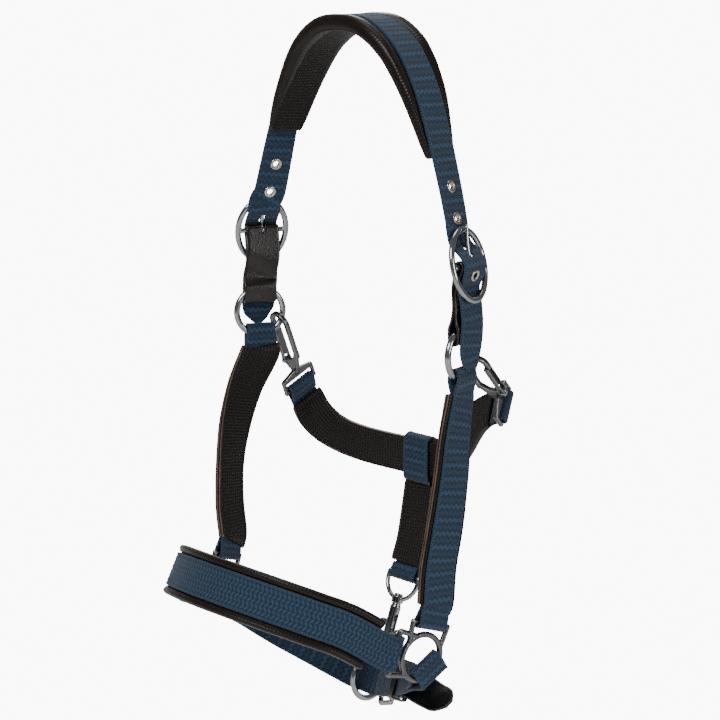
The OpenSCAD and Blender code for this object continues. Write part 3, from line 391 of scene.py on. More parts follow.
def stitches(name, rows, lines, material, pitch=3.4, length=2.4, r=0.27, start=2.0, stop=2.0):
    """Rows of thread stitches at (across, height) from a strap's middle line."""
    rows, s = even(rows, 0.4)
    t, n, w = axes_of(rows)
    shape = [(-0.5, 0.25), (-0.36, 0.8), (0, 1.0), (0.36, 0.8), (0.5, 0.25)]
    sides = 6
    angles = np.linspace(0, 2 * np.pi, sides, endpoint=False)
    faces = [tuple(f) for f in grid_faces(len(shape), sides)] + end_faces(len(shape), sides)
    parts = []
    for x, y in lines:
        for c in np.arange(start, s[-1] - stop, pitch):
            i = int(np.argmin(np.abs(s - c)))
            centre = rows[i, :3] + w[i] * (x * rows[i, 6]) + n[i] * y
            verts = np.array([centre + t[i] * (a * length)
                              + r * q * (math.cos(g) * w[i] + 0.8 * math.sin(g) * n[i])
                              for a, q in shape for g in angles])
            parts.append((verts, faces))
    return add_mesh(name, *joined(parts), material)


def offset_line(rows, x, y, ds=1.2):
    rows, _ = even(rows, ds)
    _, n, w = axes_of(rows)
    return rows[:, :3] + w * (x * rows[:, 6:7]) + n * y


def lathe(profile, centre, axis, sides=36):
    """Turns (radius, height) points round an axis. The profile is a closed outline."""
    axis = unit(axis)
    u = square_to(vec(0, 0, 1) if abs(axis[2]) < 0.8 else vec(1, 0, 0), axis)
    v = np.cross(axis, u)
    a = np.linspace(0, 2 * np.pi, sides, endpoint=False)
    profile = np.asarray(profile, float)
    verts = (centre + profile[None, :, 0, None]
             * (np.cos(a)[:, None, None] * u + np.sin(a)[:, None, None] * v)
             + profile[None, :, 1, None] * axis).reshape(-1, 3)
    return verts, [tuple(f) for f in grid_faces(sides, len(profile), True)]


# ---------------------------------------------------------------- paths of the straps
RING_C = vec(HALF_W, -4, -CROWN_DROP)
BUCKLE_TILT, FITTING_TILT, FITTING_YAW = 14, 20, -10


def out_at(yaw):
    return vec(cosd(yaw), sind(yaw), 0)


def across_at(yaw):
    return vec(-sind(yaw), cosd(yaw), 0)


def buckle_axes(yaw):
    down = cosd(BUCKLE_TILT) * DOWN + sind(BUCKLE_TILT) * out_at(yaw)
    out = cosd(BUCKLE_TILT) * out_at(yaw) + sind(BUCKLE_TILT) * UP
    return RING_C + vec(2, 2 + yaw * 0.1, 62), down, out


def buckle_spot(yaw, x, z):
    c, down, out = buckle_axes(yaw)
    return c + x * down + z * out


TAIL_LIFT = BAR_R + GAP + LEATHER_T + RUN + WEB_T / 2
TUCK = BUCKLE_WIRE + RUN + WEB_T / 2
RIM_INNER = BUCKLE_A * math.sqrt(1 - (WEB_W / 2 / BUCKLE_B) ** 2) - BUCKLE_WIRE


def crown_rows(yaw):
    n, top, w = out_at(yaw), CROWN_PAD_T + WEB_T / 2, HALF_W
    b = buckle_axes(yaw)[0][2]
    return [
        row([0, 0, top], UP),
        row([0.22 * w, 0, top - 3.6], [0.3, 0, 0.95]),
        row([0.435 * w, 0, top - 19], [0.68, 0, 0.73]),
        row([0.605 * w, 0, top - 45], [0.86, 0.08 * sind(yaw), 0.5]),
        row([0.74 * w, -1, top - 78], 0.94 * turn_z(yaw * 0.4, [1, 0, 0.36])),
        row([0.845 * w, -1, b + 10 + 2 * HOLE_PITCH], turn_z(yaw * 0.75, [1, 0, 0.3])),
        row([0.905 * w, -1.5, b + 9.6 + HOLE_PITCH], turn_z(yaw * 0.95, [1, 0, 0.26])),
        row(buckle_spot(yaw, -BUCKLE_A, -TUCK), n + vec(0, 0, 0.26)),
        row(buckle_spot(yaw, -RIM_INNER, 0.4 - TUCK), n + vec(0, 0, 0.6)),
        row(buckle_spot(yaw, -9, 1.6), n + vec(0, 0, 0.8)),
        row(buckle_spot(yaw, 0, TAIL_LIFT), n + vec(0, 0, 0.24)),
        row(buckle_spot(yaw, 9, 1.6), n - vec(0, 0, 0.2)),
        row(buckle_spot(yaw, RIM_INNER, 0.4 - TUCK), n - vec(0, 0, 0.2)),
        row(buckle_spot(yaw, BUCKLE_A, -TUCK), n),
        row(buckle_spot(yaw, BUCKLE_A + 17, -TUCK - 2.6), n + vec(0, 0, 0.12)),
        row(RING_C + 6.4 * n + vec(0, 0, 3), n),
        row(RING_C + 6.7 * n + vec(0, 0, -6), n, 0.62),
        row(RING_C + 6.9 * n + vec(0, 0, -11.5), n, 0.1)]


EYELET_U = (5, 6, 10.8)
TONGUE_U = 9
CROWN_STEPS = 20
CROWN_PATH = both_sides(crown_rows(YAW[1]), crown_rows(YAW[-1]))
CROWN_MID = (len(CROWN_PATH) - 1) // 2
EYELET_HOLE_R, TONGUE_SLOT = 3.1, (5.6, 2.4)


def crown_index(side, u):
    """Number of the smooth crown row that lies u points down one side from the poll."""
    return int(round((CROWN_MID - side * u) * CROWN_STEPS))


def part(rows, steps, a, b):
    """Smooth rows of a path from its point a to its point b."""
    return smooth(rows, steps)[int(round(a * steps)):int(round(b * steps)) + 1]


FITTING_C = RING_C + vec(2, -FITTING_AHEAD, -CHEEK_DROP)
HOLE_R, FIT_RING_W = 14.4, 4.2
FITTING_BAR = HOLE_R + FIT_RING_W + 5.6


def fit_dir(v):
    return turn_z(FITTING_YAW, turn_x(-FITTING_TILT, v))


def fit_spot(v):
    return FITTING_C + fit_dir(v)


CHEEK_PINCH = 0.86
CHEEK_HOLD = math.sqrt((RING_R - RING_WIRE) ** 2 - (WEB_W / 2 * CHEEK_PINCH) ** 2) - GAP
CHEEK_BAR = fit_spot([0, 0, FITTING_BAR])
CHEEK_TOP = RING_C - vec(0, 0, CHEEK_HOLD + RING_WIRE)


def cheek_rows(yaw, bow):
    n, m, up = out_at(yaw), fit_dir([1, 0, 0]), fit_dir([0, 0, 1])
    along = square_to(CHEEK_BAR - CHEEK_TOP, n)
    wire = RING_C + RING_R * DOWN
    drop = wire + (RING_WIRE + 6) * DOWN
    lift = CHEEK_BAR + 10 * up

    def mid(f):
        return (CHEEK_TOP + (CHEEK_BAR - CHEEK_TOP) * f
                + vec(bow, -0.2 * bow, 0) * sind(180 * f) ** 1.6)

    def facing(f):
        k = min(1, 1.7 * f)
        return unit(n * (1 - k) + m * k)

    rows = [row(drop - PLY * n + (RETURN - 5) * along, -n), row(drop - PLY * n, -n),
            row(wire - RING_FOLD_R * n, -n, 0.94)]
    for f in fold(CHEEK_TOP, DOWN, n, RING_FOLD_R, 4)[::-1]:
        rows.append(row(f[:3], f[3:6], CHEEK_PINCH))
    rows += [row(wire + RING_FOLD_R * n, n, 0.94), row(drop + PLY * n, n),
             row(drop + PLY * n + (RETURN - 4) * along, n)]
    rows += [row(mid(f) + PLY * facing(f), facing(f)) for f in (0.25, 0.42, 0.6, 0.77)]
    rows += [row(lift + (RETURN - 4) * up + PLY * m, m), row(lift + PLY * m, m)]
    rows += fold(CHEEK_BAR, up, m, FOLD_R, 4)
    rows += [row(lift - PLY * m, -m), row(lift - PLY * m + (RETURN - 5) * up, -m)]
    return rows


NOSE_BAR = fit_spot([0, -FITTING_BAR, 0])
NOSE_SLOPE = math.degrees(math.atan2(NOSE_RISE, NOSE_REACH))
NOSE_OUT, NOSE_FWD = fit_dir([1, 0, 0]), fit_dir([0, -1, 0])


def nose_half():
    rows = []
    for a in (90, 75, 60, 45, 30):
        n = vec(cosd(a), -sind(a) * cosd(NOSE_SLOPE), sind(a) * sind(NOSE_SLOPE))
        p = vec(NOSE_BAR[0] * cosd(a), NOSE_BAR[1] - NOSE_REACH * sind(a) ** 1.25,
                NOSE_BAR[2] + NOSE_RISE * sind(a) ** 1.1)
        rows.append(row(p + PLY * n, n))
    return rows + [row(NOSE_BAR + 9 * NOSE_FWD + PLY * NOSE_OUT, NOSE_OUT)]


NOSE_END = fold(NOSE_BAR, NOSE_FWD, NOSE_OUT, FOLD_R, 4) + [
    row(NOSE_BAR + 6 * NOSE_FWD - PLY * NOSE_OUT, -NOSE_OUT),
    row(NOSE_BAR + (RETURN - 1) * NOSE_FWD - PLY * NOSE_OUT, -NOSE_OUT)]
NOSE_PATH = both_sides(nose_half() + NOSE_END, nose_half() + NOSE_END)
NOSE_SPAN = len(nose_half()) - 1 - 1 / 3

HOOK_ANGLE = 59
# Yaw of the ring, pull of the hook, outward face, pull of the strap, strap fullness
HOOKS = {1: (YAW[1], (-0.15, 0.72, -0.68), (0.94, 0.30, 0.13), (-0.93, 0, -0.36), 34),
         -1: (YAW[-1], (0.08, 0.43, -0.90), (0.95, 0.10, -0.05), (0.04, 0.45, -0.89), 48)}


def hook_axes(side):
    """Wire point on the ring, and the hook's length, width and outward directions."""
    yaw, pull, face = HOOKS[side][:3]
    wire = RING_C + turn_z(yaw, [0, RING_R * sind(HOOK_ANGLE), -RING_R * cosd(HOOK_ANGLE)])
    t = unit(pull)
    n = square_to(face, t)
    return wire, t, np.cross(n, t), n


THROAT_C = vec(0, RING_C[1] + THROAT_BACK, -CROWN_DROP - THROAT_DROP)
THROAT_SEAT = 9


def throat_side(side):
    wire, t, w, _ = hook_axes(side)
    s = square_to(HOOKS[side][3], w)
    f = unit(np.cross(HOOKS[side][3], w))
    eye = wire + HOOK_LEN * t
    a, b = THROAT_C + vec(0, PLY, 0), eye + THROAT_SEAT * s + PLY * f
    da, db = vec(44, 0, 0), HOOKS[side][4] * s
    rows = []
    for i in range(8):
        u = i / 7
        p = ((1 - u) ** 3 * a + 3 * (1 - u) ** 2 * u * (a + da)
             + 3 * (1 - u) * u * u * (b + db) + u ** 3 * b)
        rows.append(row(p, BACK * (1 - u * u) + f * u * u))
    return rows + fold(eye, s, f, FOLD_R) + [row(eye + THROAT_SEAT * s - PLY * f, -f)]


THROAT_PATH = both_sides(throat_side(1), throat_side(-1))
THROAT_MID = (len(THROAT_PATH) - 1) // 2

LEAD_C = FITTING_C + vec(-FITTING_C[0] - 3, CHIN_BACK + 9, -CHIN_DROP)
JAW_LEAN = unit([0, 0.37, 0.93])
SNAP_BAR = LEAD_C + vec(7, 0, 0) + (RING_R + 62.8) * JAW_LEAN
JAW_OUT = vec(0, 0.97, -0.25)
JAW_FOLD_R = (WEB_T + SLIM_PAD_T + 1.9 + WEB_T) / 2 + RUN
JAW_TOP = THROAT_C + vec(0, PLY - (SLIM_PAD_T + 1.9) / 2, SLIM_PAD_W / 2 - 2)
JAW_LOW = JAW_TOP - vec(0, 0, SLIM_PAD_W - 2)


def jaw_rows():
    sewn = JAW_LOW - 11 * UP + PLY * BACK
    t = square_to(sewn - SNAP_BAR, vec(1, 0, 0))
    rows = [row(JAW_LOW - 4 * UP - 3 * BACK, -BACK), row(JAW_LOW - JAW_FOLD_R * BACK, -BACK)]
    for i in range(4, -1, -1):
        d = cosd(i * 45) * BACK + sind(i * 45) * UP
        rows.append(row(JAW_TOP + JAW_FOLD_R * d, d))
    rows += [row(JAW_LOW + JAW_FOLD_R * BACK, BACK),
             row(JAW_LOW - 6 * UP + 3.4 * BACK, BACK), row(sewn, BACK),
             row(SNAP_BAR + 30 * t + PLY * JAW_OUT, JAW_OUT),
             row(SNAP_BAR + 9 * t + PLY * JAW_OUT, JAW_OUT)]
    return rows + fold(SNAP_BAR, t, JAW_OUT, FOLD_R, 4) + [
        row(SNAP_BAR + 8 * t - PLY * JAW_OUT, -JAW_OUT)]


CHIN_FACE = unit([0, 0.94, -0.35])
BILLET_T, BILLET_W, CHAPE_T, LOOP_L = 2.4, WEB_W - 1.6, 1.6, 24
CHORD = math.sqrt((RING_R - RING_WIRE) ** 2 - (WEB_W / 2) ** 2)
CHIN_C = LEAD_C - vec(LEAD_C[0], 0, 0) - (CHORD - GAP - WEB_T / 2) * CHIN_FACE
FIT_OUT = fit_dir([1, 0, 0])
CHIN_TURN = CHIN_C + vec(12, 0, 0)
FIT_DOWN = square_to(CHIN_TURN - FITTING_C, FIT_OUT)
FIT_EDGE = HOLE_R + FIT_RING_W
FIT_HOLD = math.sqrt(HOLE_R ** 2 - (WEB_W / 2) ** 2) - GAP
CHIN_V = CHIN_TURN - (FITTING_C + FIT_EDGE * FIT_DOWN)
CHIN_SLOPE = math.degrees(math.atan2(-np.dot(CHIN_V, FIT_OUT), np.dot(CHIN_V, FIT_DOWN)))


def in_fit(a, b):
    return FITTING_C + a * FIT_DOWN + b * FIT_OUT


def along_chin(s, h):
    g = GAP + WEB_T / 2
    sn, cs = sind(CHIN_SLOPE), cosd(CHIN_SLOPE)
    return in_fit(FIT_EDGE + g * sn + s * cs + h * sn, BAR_R + g * cs - s * sn + h * cs)


LOOP_OUT = sind(CHIN_SLOPE) * FIT_DOWN + cosd(CHIN_SLOPE) * FIT_OUT
NEAR_T = unit(along_chin(LOOP_L, 0) - CHIN_TURN)
NEAR_N = square_to(0.75 * CHIN_FACE + 0.25 * LOOP_OUT, NEAR_T)
NEAR_W = np.cross(NEAR_N, NEAR_T)


def near_spot(s, h):
    return CHIN_TURN + s * NEAR_T + h * NEAR_N


def corner(a, b, turn):
    d = cosd(turn) * FIT_OUT + sind(turn) * FIT_DOWN
    return row(in_fit(a, b) + (GAP + WEB_T / 2) * d, d)


def chin_rows(x0):
    rows = [row(CHIN_C + vec(-x0, 0, 0), CHIN_FACE),
            row(near_spot(0, 0), 0.5 * (CHIN_FACE + NEAR_N))]
    rows += [row(near_spot(s, 0), NEAR_N) for s in (10, 30, 45, 50)]
    rows += [row(along_chin(LOOP_L, 0), LOOP_OUT), row(along_chin(8, 0), LOOP_OUT)]
    rows += [corner(FIT_EDGE, BAR_R, CHIN_SLOPE), corner(FIT_EDGE, BAR_R, CHIN_SLOPE / 2),
             corner(FIT_EDGE, BAR_R, 0), corner(FIT_HOLD, BAR_R, 0),
             corner(FIT_HOLD, BAR_R, -45), corner(FIT_HOLD, BAR_R, -90),
             corner(FIT_HOLD, -BAR_R, -90), corner(FIT_HOLD, -BAR_R, CHIN_SLOPE - 180)]
    return rows + [row(along_chin(13, -6.5), -LOOP_OUT),
                   row(along_chin(LOOP_L, -2 * PLY), -LOOP_OUT),
                   row(along_chin(LOOP_L + 9, -2 * PLY), -LOOP_OUT)]


FRAME_END, FRAME_BAR, FRAME_WIRE = -3, 27, 2
FRAME_HALF, FRAME_CORNER_R = WEB_W / 2 + 3.6, 5.0
BAR_H = WEB_T / 2 + RUN + BAR_R + GAP + CHAPE_T
END_H = WEB_T / 2 + GAP + BILLET_T + 3 * RUN + FRAME_WIRE + 1.1
OVER_H = BAR_H + BAR_R + GAP + CHAPE_T + RUN + BILLET_T / 2
CHAPE_H = WEB_T / 2 + GAP + CHAPE_T + GAP / 2
FLAT_H = CHAPE_H + CHAPE_T + GAP + 1.8 * RUN + BILLET_T / 2
KEEPER_S, KEEPER_W, KEEPER_T, KEEPER_CORNER_R = 40, 9, 1.4, 1.2
BILLET_H = WEB_T / 2 + 1.5 * GAP + BILLET_T / 2
BILLET_TIP = FITTING_C + vec(9, 20, -38)
BILLET_FACE = unit([0.1, 0.55, -0.8])


def billet_rows():
    under = smooth(chin_rows(0.6)[:6], 8)[:4 * 8 + 1]
    _, n, _ = axes_of(under)
    flipped = mirrored(under)
    flip = vec(-1, 1, 1)
    far = [row(flipped[i][:3] + BILLET_H * flip * n[i], flipped[i][3:6])
           for i in range(4 * 8, 0, -1)]
    lie = unit([1, -0.28, 0.1])
    over = [row(CHIN_C + BILLET_H * CHIN_FACE, CHIN_FACE),
            row(near_spot(-5, BILLET_H + 2 * RUN), NEAR_N + CHIN_FACE),
            row(near_spot(FRAME_END + 4, BILLET_H + 0.7), NEAR_N),
            row(near_spot((FRAME_END + FRAME_BAR) / 2, (BILLET_H + OVER_H) / 2), NEAR_N),
            row(near_spot(FRAME_BAR, OVER_H), NEAR_N),
            row(near_spot(FRAME_BAR + 3, OVER_H), NEAR_N)]
    over += [row(near_spot(KEEPER_S + s, FLAT_H), NEAR_N) for s in (-3, 4, 11)]
    over += [row(BILLET_TIP - 24 * lie, BILLET_FACE), row(BILLET_TIP - 9 * lie, BILLET_FACE, 0.9),
             row(BILLET_TIP, BILLET_FACE, 0.3)]
    return np.concatenate([np.array(far), smooth(over, 10)])


# ---------------------------------------------------------------- materials
class Nodes:
    """Small helper that adds shader nodes and links them."""

    def __init__(self, name, **shader):
        self.material = bpy.data.materials.new(name)
        self.material.use_nodes = True
        self.tree = self.material.node_tree
        self.shader = self.tree.nodes["Principled BSDF"]
        for key, value in shader.items():
            self.shader.inputs[key.replace("_", " ")].default_value = value

    def add(self, kind, inputs=None, **settings):
        node = self.tree.nodes.new("ShaderNode" + kind)
        for key, value in settings.items():
            setattr(node, key, value)
        for key, value in (inputs or {}).items():
            if isinstance(value, bpy.types.NodeSocket):
                self.tree.links.new(value, node.inputs[key])
            else:
                node.inputs[key].default_value = value
        return node

    def attribute(self, name):
        return self.add("Attribute", attribute_name=name).outputs["Fac"]

    def math(self, operation, a, b=0.0):
        return self.add("Math", {0: a, 1: b}, operation=operation).outputs[0]

    def ramp(self, fac, *stops):
        node = self.add("ValToRGB", {0: fac})
        while len(node.color_ramp.elements) < len(stops):
            node.color_ramp.elements.new(0.5)
        for element, (place, colour) in zip(node.color_ramp.elements, stops):
            element.position = place
            element.color = (*colour, 1) if len(colour) == 3 else colour
        return node.outputs["Color"]

    def noise(self, scale, detail=3.0):
        spot = self.add("TexCoord").outputs["Object"]
        return self.add("TexNoise", {"Vector": spot, "Scale": scale, "Detail": detail,
                                     "Roughness": 0.55}).outputs["Fac"]

    def mix(self, fac, a, b):
        node = self.add("Mix", data_type="RGBA", blend_type="MIX")
        for socket, value in ((node.inputs[0], fac), (node.inputs[6], a), (node.inputs[7], b)):
            if isinstance(value, bpy.types.NodeSocket):
                self.tree.links.new(value, socket)
            else:
                socket.default_value = (*value, 1) if isinstance(value, tuple) else value
        return node.outputs[2]

    def colour(self, socket):
        self.tree.links.new(socket, self.shader.inputs["Base Color"])

    def roughness(self, fac, low, high):
        node = self.add("MapRange", {"Value": fac, "To Min": low, "To Max": high})
        self.tree.links.new(node.outputs[0], self.shader.inputs["Roughness"])

    def bump(self, *layers):
        """Each layer is (height, strength, distance in metres)."""
        normal = None
        for height, strength, distance in layers:
            inputs = {"Height": height, "Strength": strength, "Distance": distance}
            if normal is not None:
                inputs["Normal"] = normal
            normal = self.add("Bump", inputs).outputs[0]
        self.tree.links.new(normal, self.shader.inputs["Normal"])


def tint(colour, k):
    return tuple(min(1.0, c * k) for c in colour)


def webbing_material(colour):
    m = Nodes("webbing", Roughness=0.8, Sheen_Weight=0.25, Sheen_Roughness=0.5,
              Specular_IOR_Level=0.25)
    relief, s, x = m.attribute("relief"), m.attribute("along"), m.attribute("across")
    threads = m.math("SINE", m.math("MULTIPLY", m.math("ADD", s, m.math("MULTIPLY", x, 0.8)), 9.0))
    wear_and_edge_highlight = m.noise(45.0)
    fuzz = m.noise(2600.0, 2.0)
    # Colour follows the weave's relief: painted shade in its valleys, painted highlight on its
    # ridges and knots.
    base = m.ramp(relief, (0.05, tint(colour, 0.28)), (0.45, tint(colour, 1.0)),
                  (0.95, tint(colour, 2.3)))
    base = m.mix(m.math("MULTIPLY", wear_and_edge_highlight, 0.30), base, tint(colour, 0.55))
    base = m.mix(m.math("MULTIPLY", fuzz, 0.30), base, tint(colour, 1.9))
    m.colour(base)
    m.roughness(fuzz, 0.68, 0.9)
    m.bump((threads, 0.35, 0.00012), (fuzz, 0.25, 0.00012))
    return m.material


def padding_material(colour):
    m = Nodes("padding", Roughness=0.6, Specular_IOR_Level=0.32, Sheen_Weight=0.02)
    panel, s, x = m.attribute("panel"), m.attribute("along"), m.attribute("across")
    a = m.math("SINE", m.math("MULTIPLY", m.math("ADD", s, x), 1.25))
    b = m.math("SINE", m.math("MULTIPLY", m.math("SUBTRACT", s, x), 1.25))
    mesh = m.math("MULTIPLY", a, b)
    grain = m.noise(1500.0, 3.0)
    fibre = m.noise(60.0)
    # Colour follows the emboss height: painted shade in its hollows and painted highlight on its
    # tops, as sparse bright dots on the rolls and stronger on the panel.
    roll = m.ramp(mesh, (0.5, tint(colour, 0.85)), (0.8, tint(colour, 1.1)),
                  (0.97, tint(colour, 2.2)))
    knit = m.ramp(mesh, (0.0, tint(colour, 0.4)), (0.35, tint(colour, 0.9)),
                  (0.9, tint(colour, 2.0)))
    base = m.mix(panel, roll, knit)
    m.colour(m.mix(m.math("MULTIPLY", fibre, 0.35), base, tint(colour, 0.5)))
    m.roughness(m.math("ADD", m.math("MULTIPLY", grain, 0.5), m.math("MULTIPLY", panel, 0.5)),
                0.2, 0.62)
    fine = m.math("ADD", m.math("MULTIPLY", panel, 0.8), 0.2)
    m.bump((m.math("MULTIPLY", mesh, fine), 0.8, 0.0006), (grain, 0.2, 0.0001))
    return m.material


def leather_material(name, colour, rough=(0.2, 0.4)):
    m = Nodes(name, Roughness=0.35, Specular_IOR_Level=0.5, Coat_Weight=0.6,
              Coat_Roughness=0.28)
    spot = m.add("TexCoord").outputs["Object"]
    cells = m.add("TexVoronoi", {"Vector": spot, "Scale": 850.0}).outputs["Distance"]
    blotch = m.noise(80.0)
    m.colour(m.ramp(blotch, (0.3, tint(colour, 0.7)), (0.8, tint(colour, 1.5))))
    m.roughness(m.math("MULTIPLY", m.math("ADD", blotch, cells), 0.6), *rough)
    m.bump((cells, 0.45, 0.0002), (m.noise(300.0), 0.2, 0.0003))
    return m.material


def metal_material(name, colour, rough, edge=0.0, speckle=0.05):
    m = Nodes(name, Metallic=1.0, Roughness=rough[0])
    smudge, scratch = m.noise(140.0, 4.0), m.noise(1900.0, 2.0)
    base = m.ramp(smudge, (0.25, tint(colour, 0.82)), (0.75, tint(colour, 1.1)))
    # Convex edges, found by pointiness, are made lighter: a painted highlight along the edges.
    if edge:
        point = m.add("NewGeometry").outputs["Pointiness"]
        wear_and_edge_highlight = m.ramp(point, (0.505, (0, 0, 0)), (0.56, (1, 1, 1)))
        base = m.mix(wear_and_edge_highlight, base, tint(colour, 1 + edge))
    m.colour(base)
    m.roughness(m.math("ADD", m.math("MULTIPLY", smudge, 0.7), m.math("MULTIPLY", scratch, 0.3)),
                *rough)
    m.bump((scratch, speckle, 0.00006))
    return m.material


def thread_material(name, colour):
    m = Nodes(name, Roughness=0.7, Sheen_Weight=0.2)
    twist = m.noise(2400.0)
    m.colour(m.ramp(twist, (0.3, tint(colour, 0.7)), (0.7, tint(colour, 1.4))))
    m.bump((twist, 0.4, 0.0001))
    return m.material


# ---------------------------------------------------------------- user values
class HalterColours(bpy.types.PropertyGroup):
    webbing: bpy.props.FloatVectorProperty(
        name="Webbing", description="Colour of the webbing straps", subtype="COLOR",
        size=3, default=(0.021, 0.047, 0.086), min=0, max=1)
    padding: bpy.props.FloatVectorProperty(
        name="Padding", description="Colour of the padding", subtype="COLOR",
        size=3, default=(0.018, 0.0115, 0.0085), min=0, max=1)
    leather: bpy.props.FloatVectorProperty(
        name="Leather", description="Colour of the leather tabs", subtype="COLOR",
        size=3, default=(0.011, 0.0062, 0.0046), min=0, max=1)
    chrome: bpy.props.FloatVectorProperty(
        name="Bright metal", description="Colour of rings, buckles and the snap",
        subtype="COLOR", size=3, default=(0.50, 0.51, 0.53), min=0, max=1)
    cast: bpy.props.FloatVectorProperty(
        name="Cast metal", description="Colour of the cast hooks and nose fittings",
        subtype="COLOR", size=3, default=(0.17, 0.17, 0.175), min=0, max=1)


class HalterSizes(bpy.types.PropertyGroup):
    weave_depth: bpy.props.FloatProperty(
        name="Weave depth", description="Depth of the weave below the strap face",
        default=0.0005, min=0, max=0.001, subtype="DISTANCE", unit="LENGTH")
    stitch_pitch: bpy.props.FloatProperty(
        name="Stitch pitch", description="Distance from one stitch to the next",
        default=0.0034, min=0.002, max=0.006, subtype="DISTANCE", unit="LENGTH")
    cast_voxel: bpy.props.FloatProperty(
        name="Casting detail", description="Voxel size that rounds the castings' edges",
        default=0.0004, min=0.0003, max=0.001, subtype="DISTANCE", unit="LENGTH")


FINISH = {}


def finish(name):
    """One of the halter's materials, made when it is first asked for."""
    c = bpy.context.scene.halter_colours
    make = {
        "webbing": lambda: webbing_material(tuple(c.webbing)),
        "padding": lambda: padding_material(tuple(c.padding)),
        "leather": lambda: leather_material("leather", tuple(c.leather), (0.14, 0.3)),
        # The piping is real, but its colour is the padding's made eight times lighter: painted
        # highlight along the pad edges.
        "piping": lambda: leather_material("piping", tint(tuple(c.padding), 8.0), (0.25, 0.45)),
        "chrome": lambda: metal_material("chrome", tuple(c.chrome), (0.07, 0.2)),
        # edge sets how much lighter the painted highlight along the castings' edges is.
        "cast": lambda: metal_material("cast", tuple(c.cast), (0.2, 0.36), edge=2.4,
                                       speckle=0.25),
        "nickel": lambda: metal_material("nickel", (0.78, 0.70, 0.60), (0.1, 0.25)),
        "blue_thread": lambda: thread_material("blue_thread", tint(tuple(c.webbing), 1.5)),
        "brown_thread": lambda: thread_material("brown_thread", tint(tuple(c.padding), 3.5)),
        "black_thread": lambda: thread_material("black_thread", (0.05, 0.045, 0.04))}
    if name not in FINISH:
        FINISH[name] = make[name]()
    return FINISH[name]


def settle(piece, body, slot, *nodes, fill=None):
    """Ties a piece to its body, and hides the CAD nodes it stands for."""
    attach(piece, body)
    if nodes:
        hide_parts(*nodes)
    return piece


def weave_depth():
    return bpy.context.scene.halter_sizes.weave_depth / MM


def webbing(name, rows, node, weave=chevrons, holes=(), width=WEB_W):
    piece = ribbon(name, rows, width, WEB_T, finish("webbing"), weave, weave_depth(), holes)
    return settle(piece, "straps", "webbing", node)


def sew(name, rows, lines, thread="blue_thread", body="straps", slot="webbing", **sizes):
    pitch = bpy.context.scene.halter_sizes.stitch_pitch / MM
    return settle(stitches(name, rows, lines, finish(thread), pitch=pitch, **sizes), body, slot)


def pair(x, height):
    """Two lines at the same distance on either side of a strap's middle."""
    return [(-x, height), (x, height)]


def face_stitches(name, rows, x, sink=0.1):
    sew(name, rows, pair(x, WEB_T / 2 - sink))


def seam(name, rows, x, depth):
    """Two lines of thread on the back of a pad, depth below its top face."""
    sew(name, rows, pair(x, PAD_TOP - depth), "brown_thread", slot="padding")


def padding(name, rows, width, seat, thick, rise, fill, **shape):
    piece = pad(name, rows, width, seat, thick, finish("padding"), rise, **shape)
    settle(piece, "straps", "padding", name, fill=fill)


def leather(name, rows, width, thick, body="straps", **shape):
    settle(ribbon(name, rows, width, thick, finish("leather"), **shape), body, "leather", name)


def wire_piece(name, parts, body, slot, material, *nodes):
    return settle(add_mesh(name, *joined(parts), finish(material)), body, slot, *nodes)


def piping(name, rows, spots, r=0.5):
    parts = [tube(offset_line(rows, x, y), r, sides=8) for x, y in spots]
    return wire_piece(name, parts, "straps", "padding", "piping")


def dress(node, material, voxel=None, rounds=4):
    """Gives a CAD node its finish, and rounds its edges by remeshing it finely."""
    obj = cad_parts[node]
    for slot in obj.material_slots:
        slot.link = "OBJECT"
        slot.material = finish(material)
    if voxel:
        remesh = obj.modifiers.new("rounding", "REMESH")
        remesh.mode, remesh.voxel_size, remesh.use_smooth_shade = "VOXEL", voxel, True
        soften = obj.modifiers.new("soften", "SMOOTH")
        soften.factor, soften.iterations = 0.5, rounds


def shown_to_camera(tree, shade, shown, output):
    """Shows the camera one shader, and lights everything else by the other."""
    path = tree.nodes.new("ShaderNodeLightPath")
    mix = tree.nodes.new("ShaderNodeMixShader")
    tree.links.new(path.outputs["Is Camera Ray"], mix.inputs[0])
    tree.links.new(shade.outputs[0], mix.inputs[1])
    tree.links.new(shown.outputs[0], mix.inputs[2])
    tree.links.new(mix.outputs[0], tree.nodes[output].inputs[0])


# ---------------------------------------------------------------- pieces
class HALTER_OT_crown(bpy.types.Operator):
    """Crown strap with its pad, eyelets and tails"""
    bl_idname = "halter.crown"
    bl_label = "Crown strap"

    def execute(self, context):
        rows = smooth(CROWN_PATH, CROWN_STEPS)
        s = lengths(rows[:, :3])
        holes = []
        for side in (1, -1):
            for u in EYELET_U:
                holes.append((s[crown_index(side, u)], 0, EYELET_HOLE_R, EYELET_HOLE_R))
            holes.append((s[crown_index(side, TONGUE_U)], 0, *TONGUE_SLOT))
        webbing("crown_webbing", rows, "crown_webbing", holes=holes)
        under = part(CROWN_PATH, CROWN_STEPS, CROWN_MID - 4.4, CROWN_MID + 4.2)
        padding("crown_pad", under, CROWN_PAD_W, WEB_W + 2, CROWN_PAD_T, 3, 0.7,
                taper=lambda f: 1 - 0.49 * f ** 2.2, seed=3)
        face_stitches("crown_stitches", under, 10.9)
        for side, word in SIDES:
            parts = []
            for u in EYELET_U:
                i = crown_index(side, u)
                _, n, _ = axes_of(rows[i - 1:i + 2])
                rim = [(3.4 + 1.1 * math.cos(a), 1.2 + 0.65 * math.sin(a))
                       for a in np.linspace(-0.6, math.pi, 10)]
                back = [(3.4 - 1.1 * math.cos(a), -1.2 - 0.55 * math.sin(a))
                        for a in np.linspace(0, math.pi, 8)]
                parts.append(lathe(rim + back, rows[i, :3], n[1], 32))
            node = "crown_eyelets_" + word
            wire_piece(node, parts, "straps", "eyelet_metal", "nickel", node)
        return {"FINISHED"}


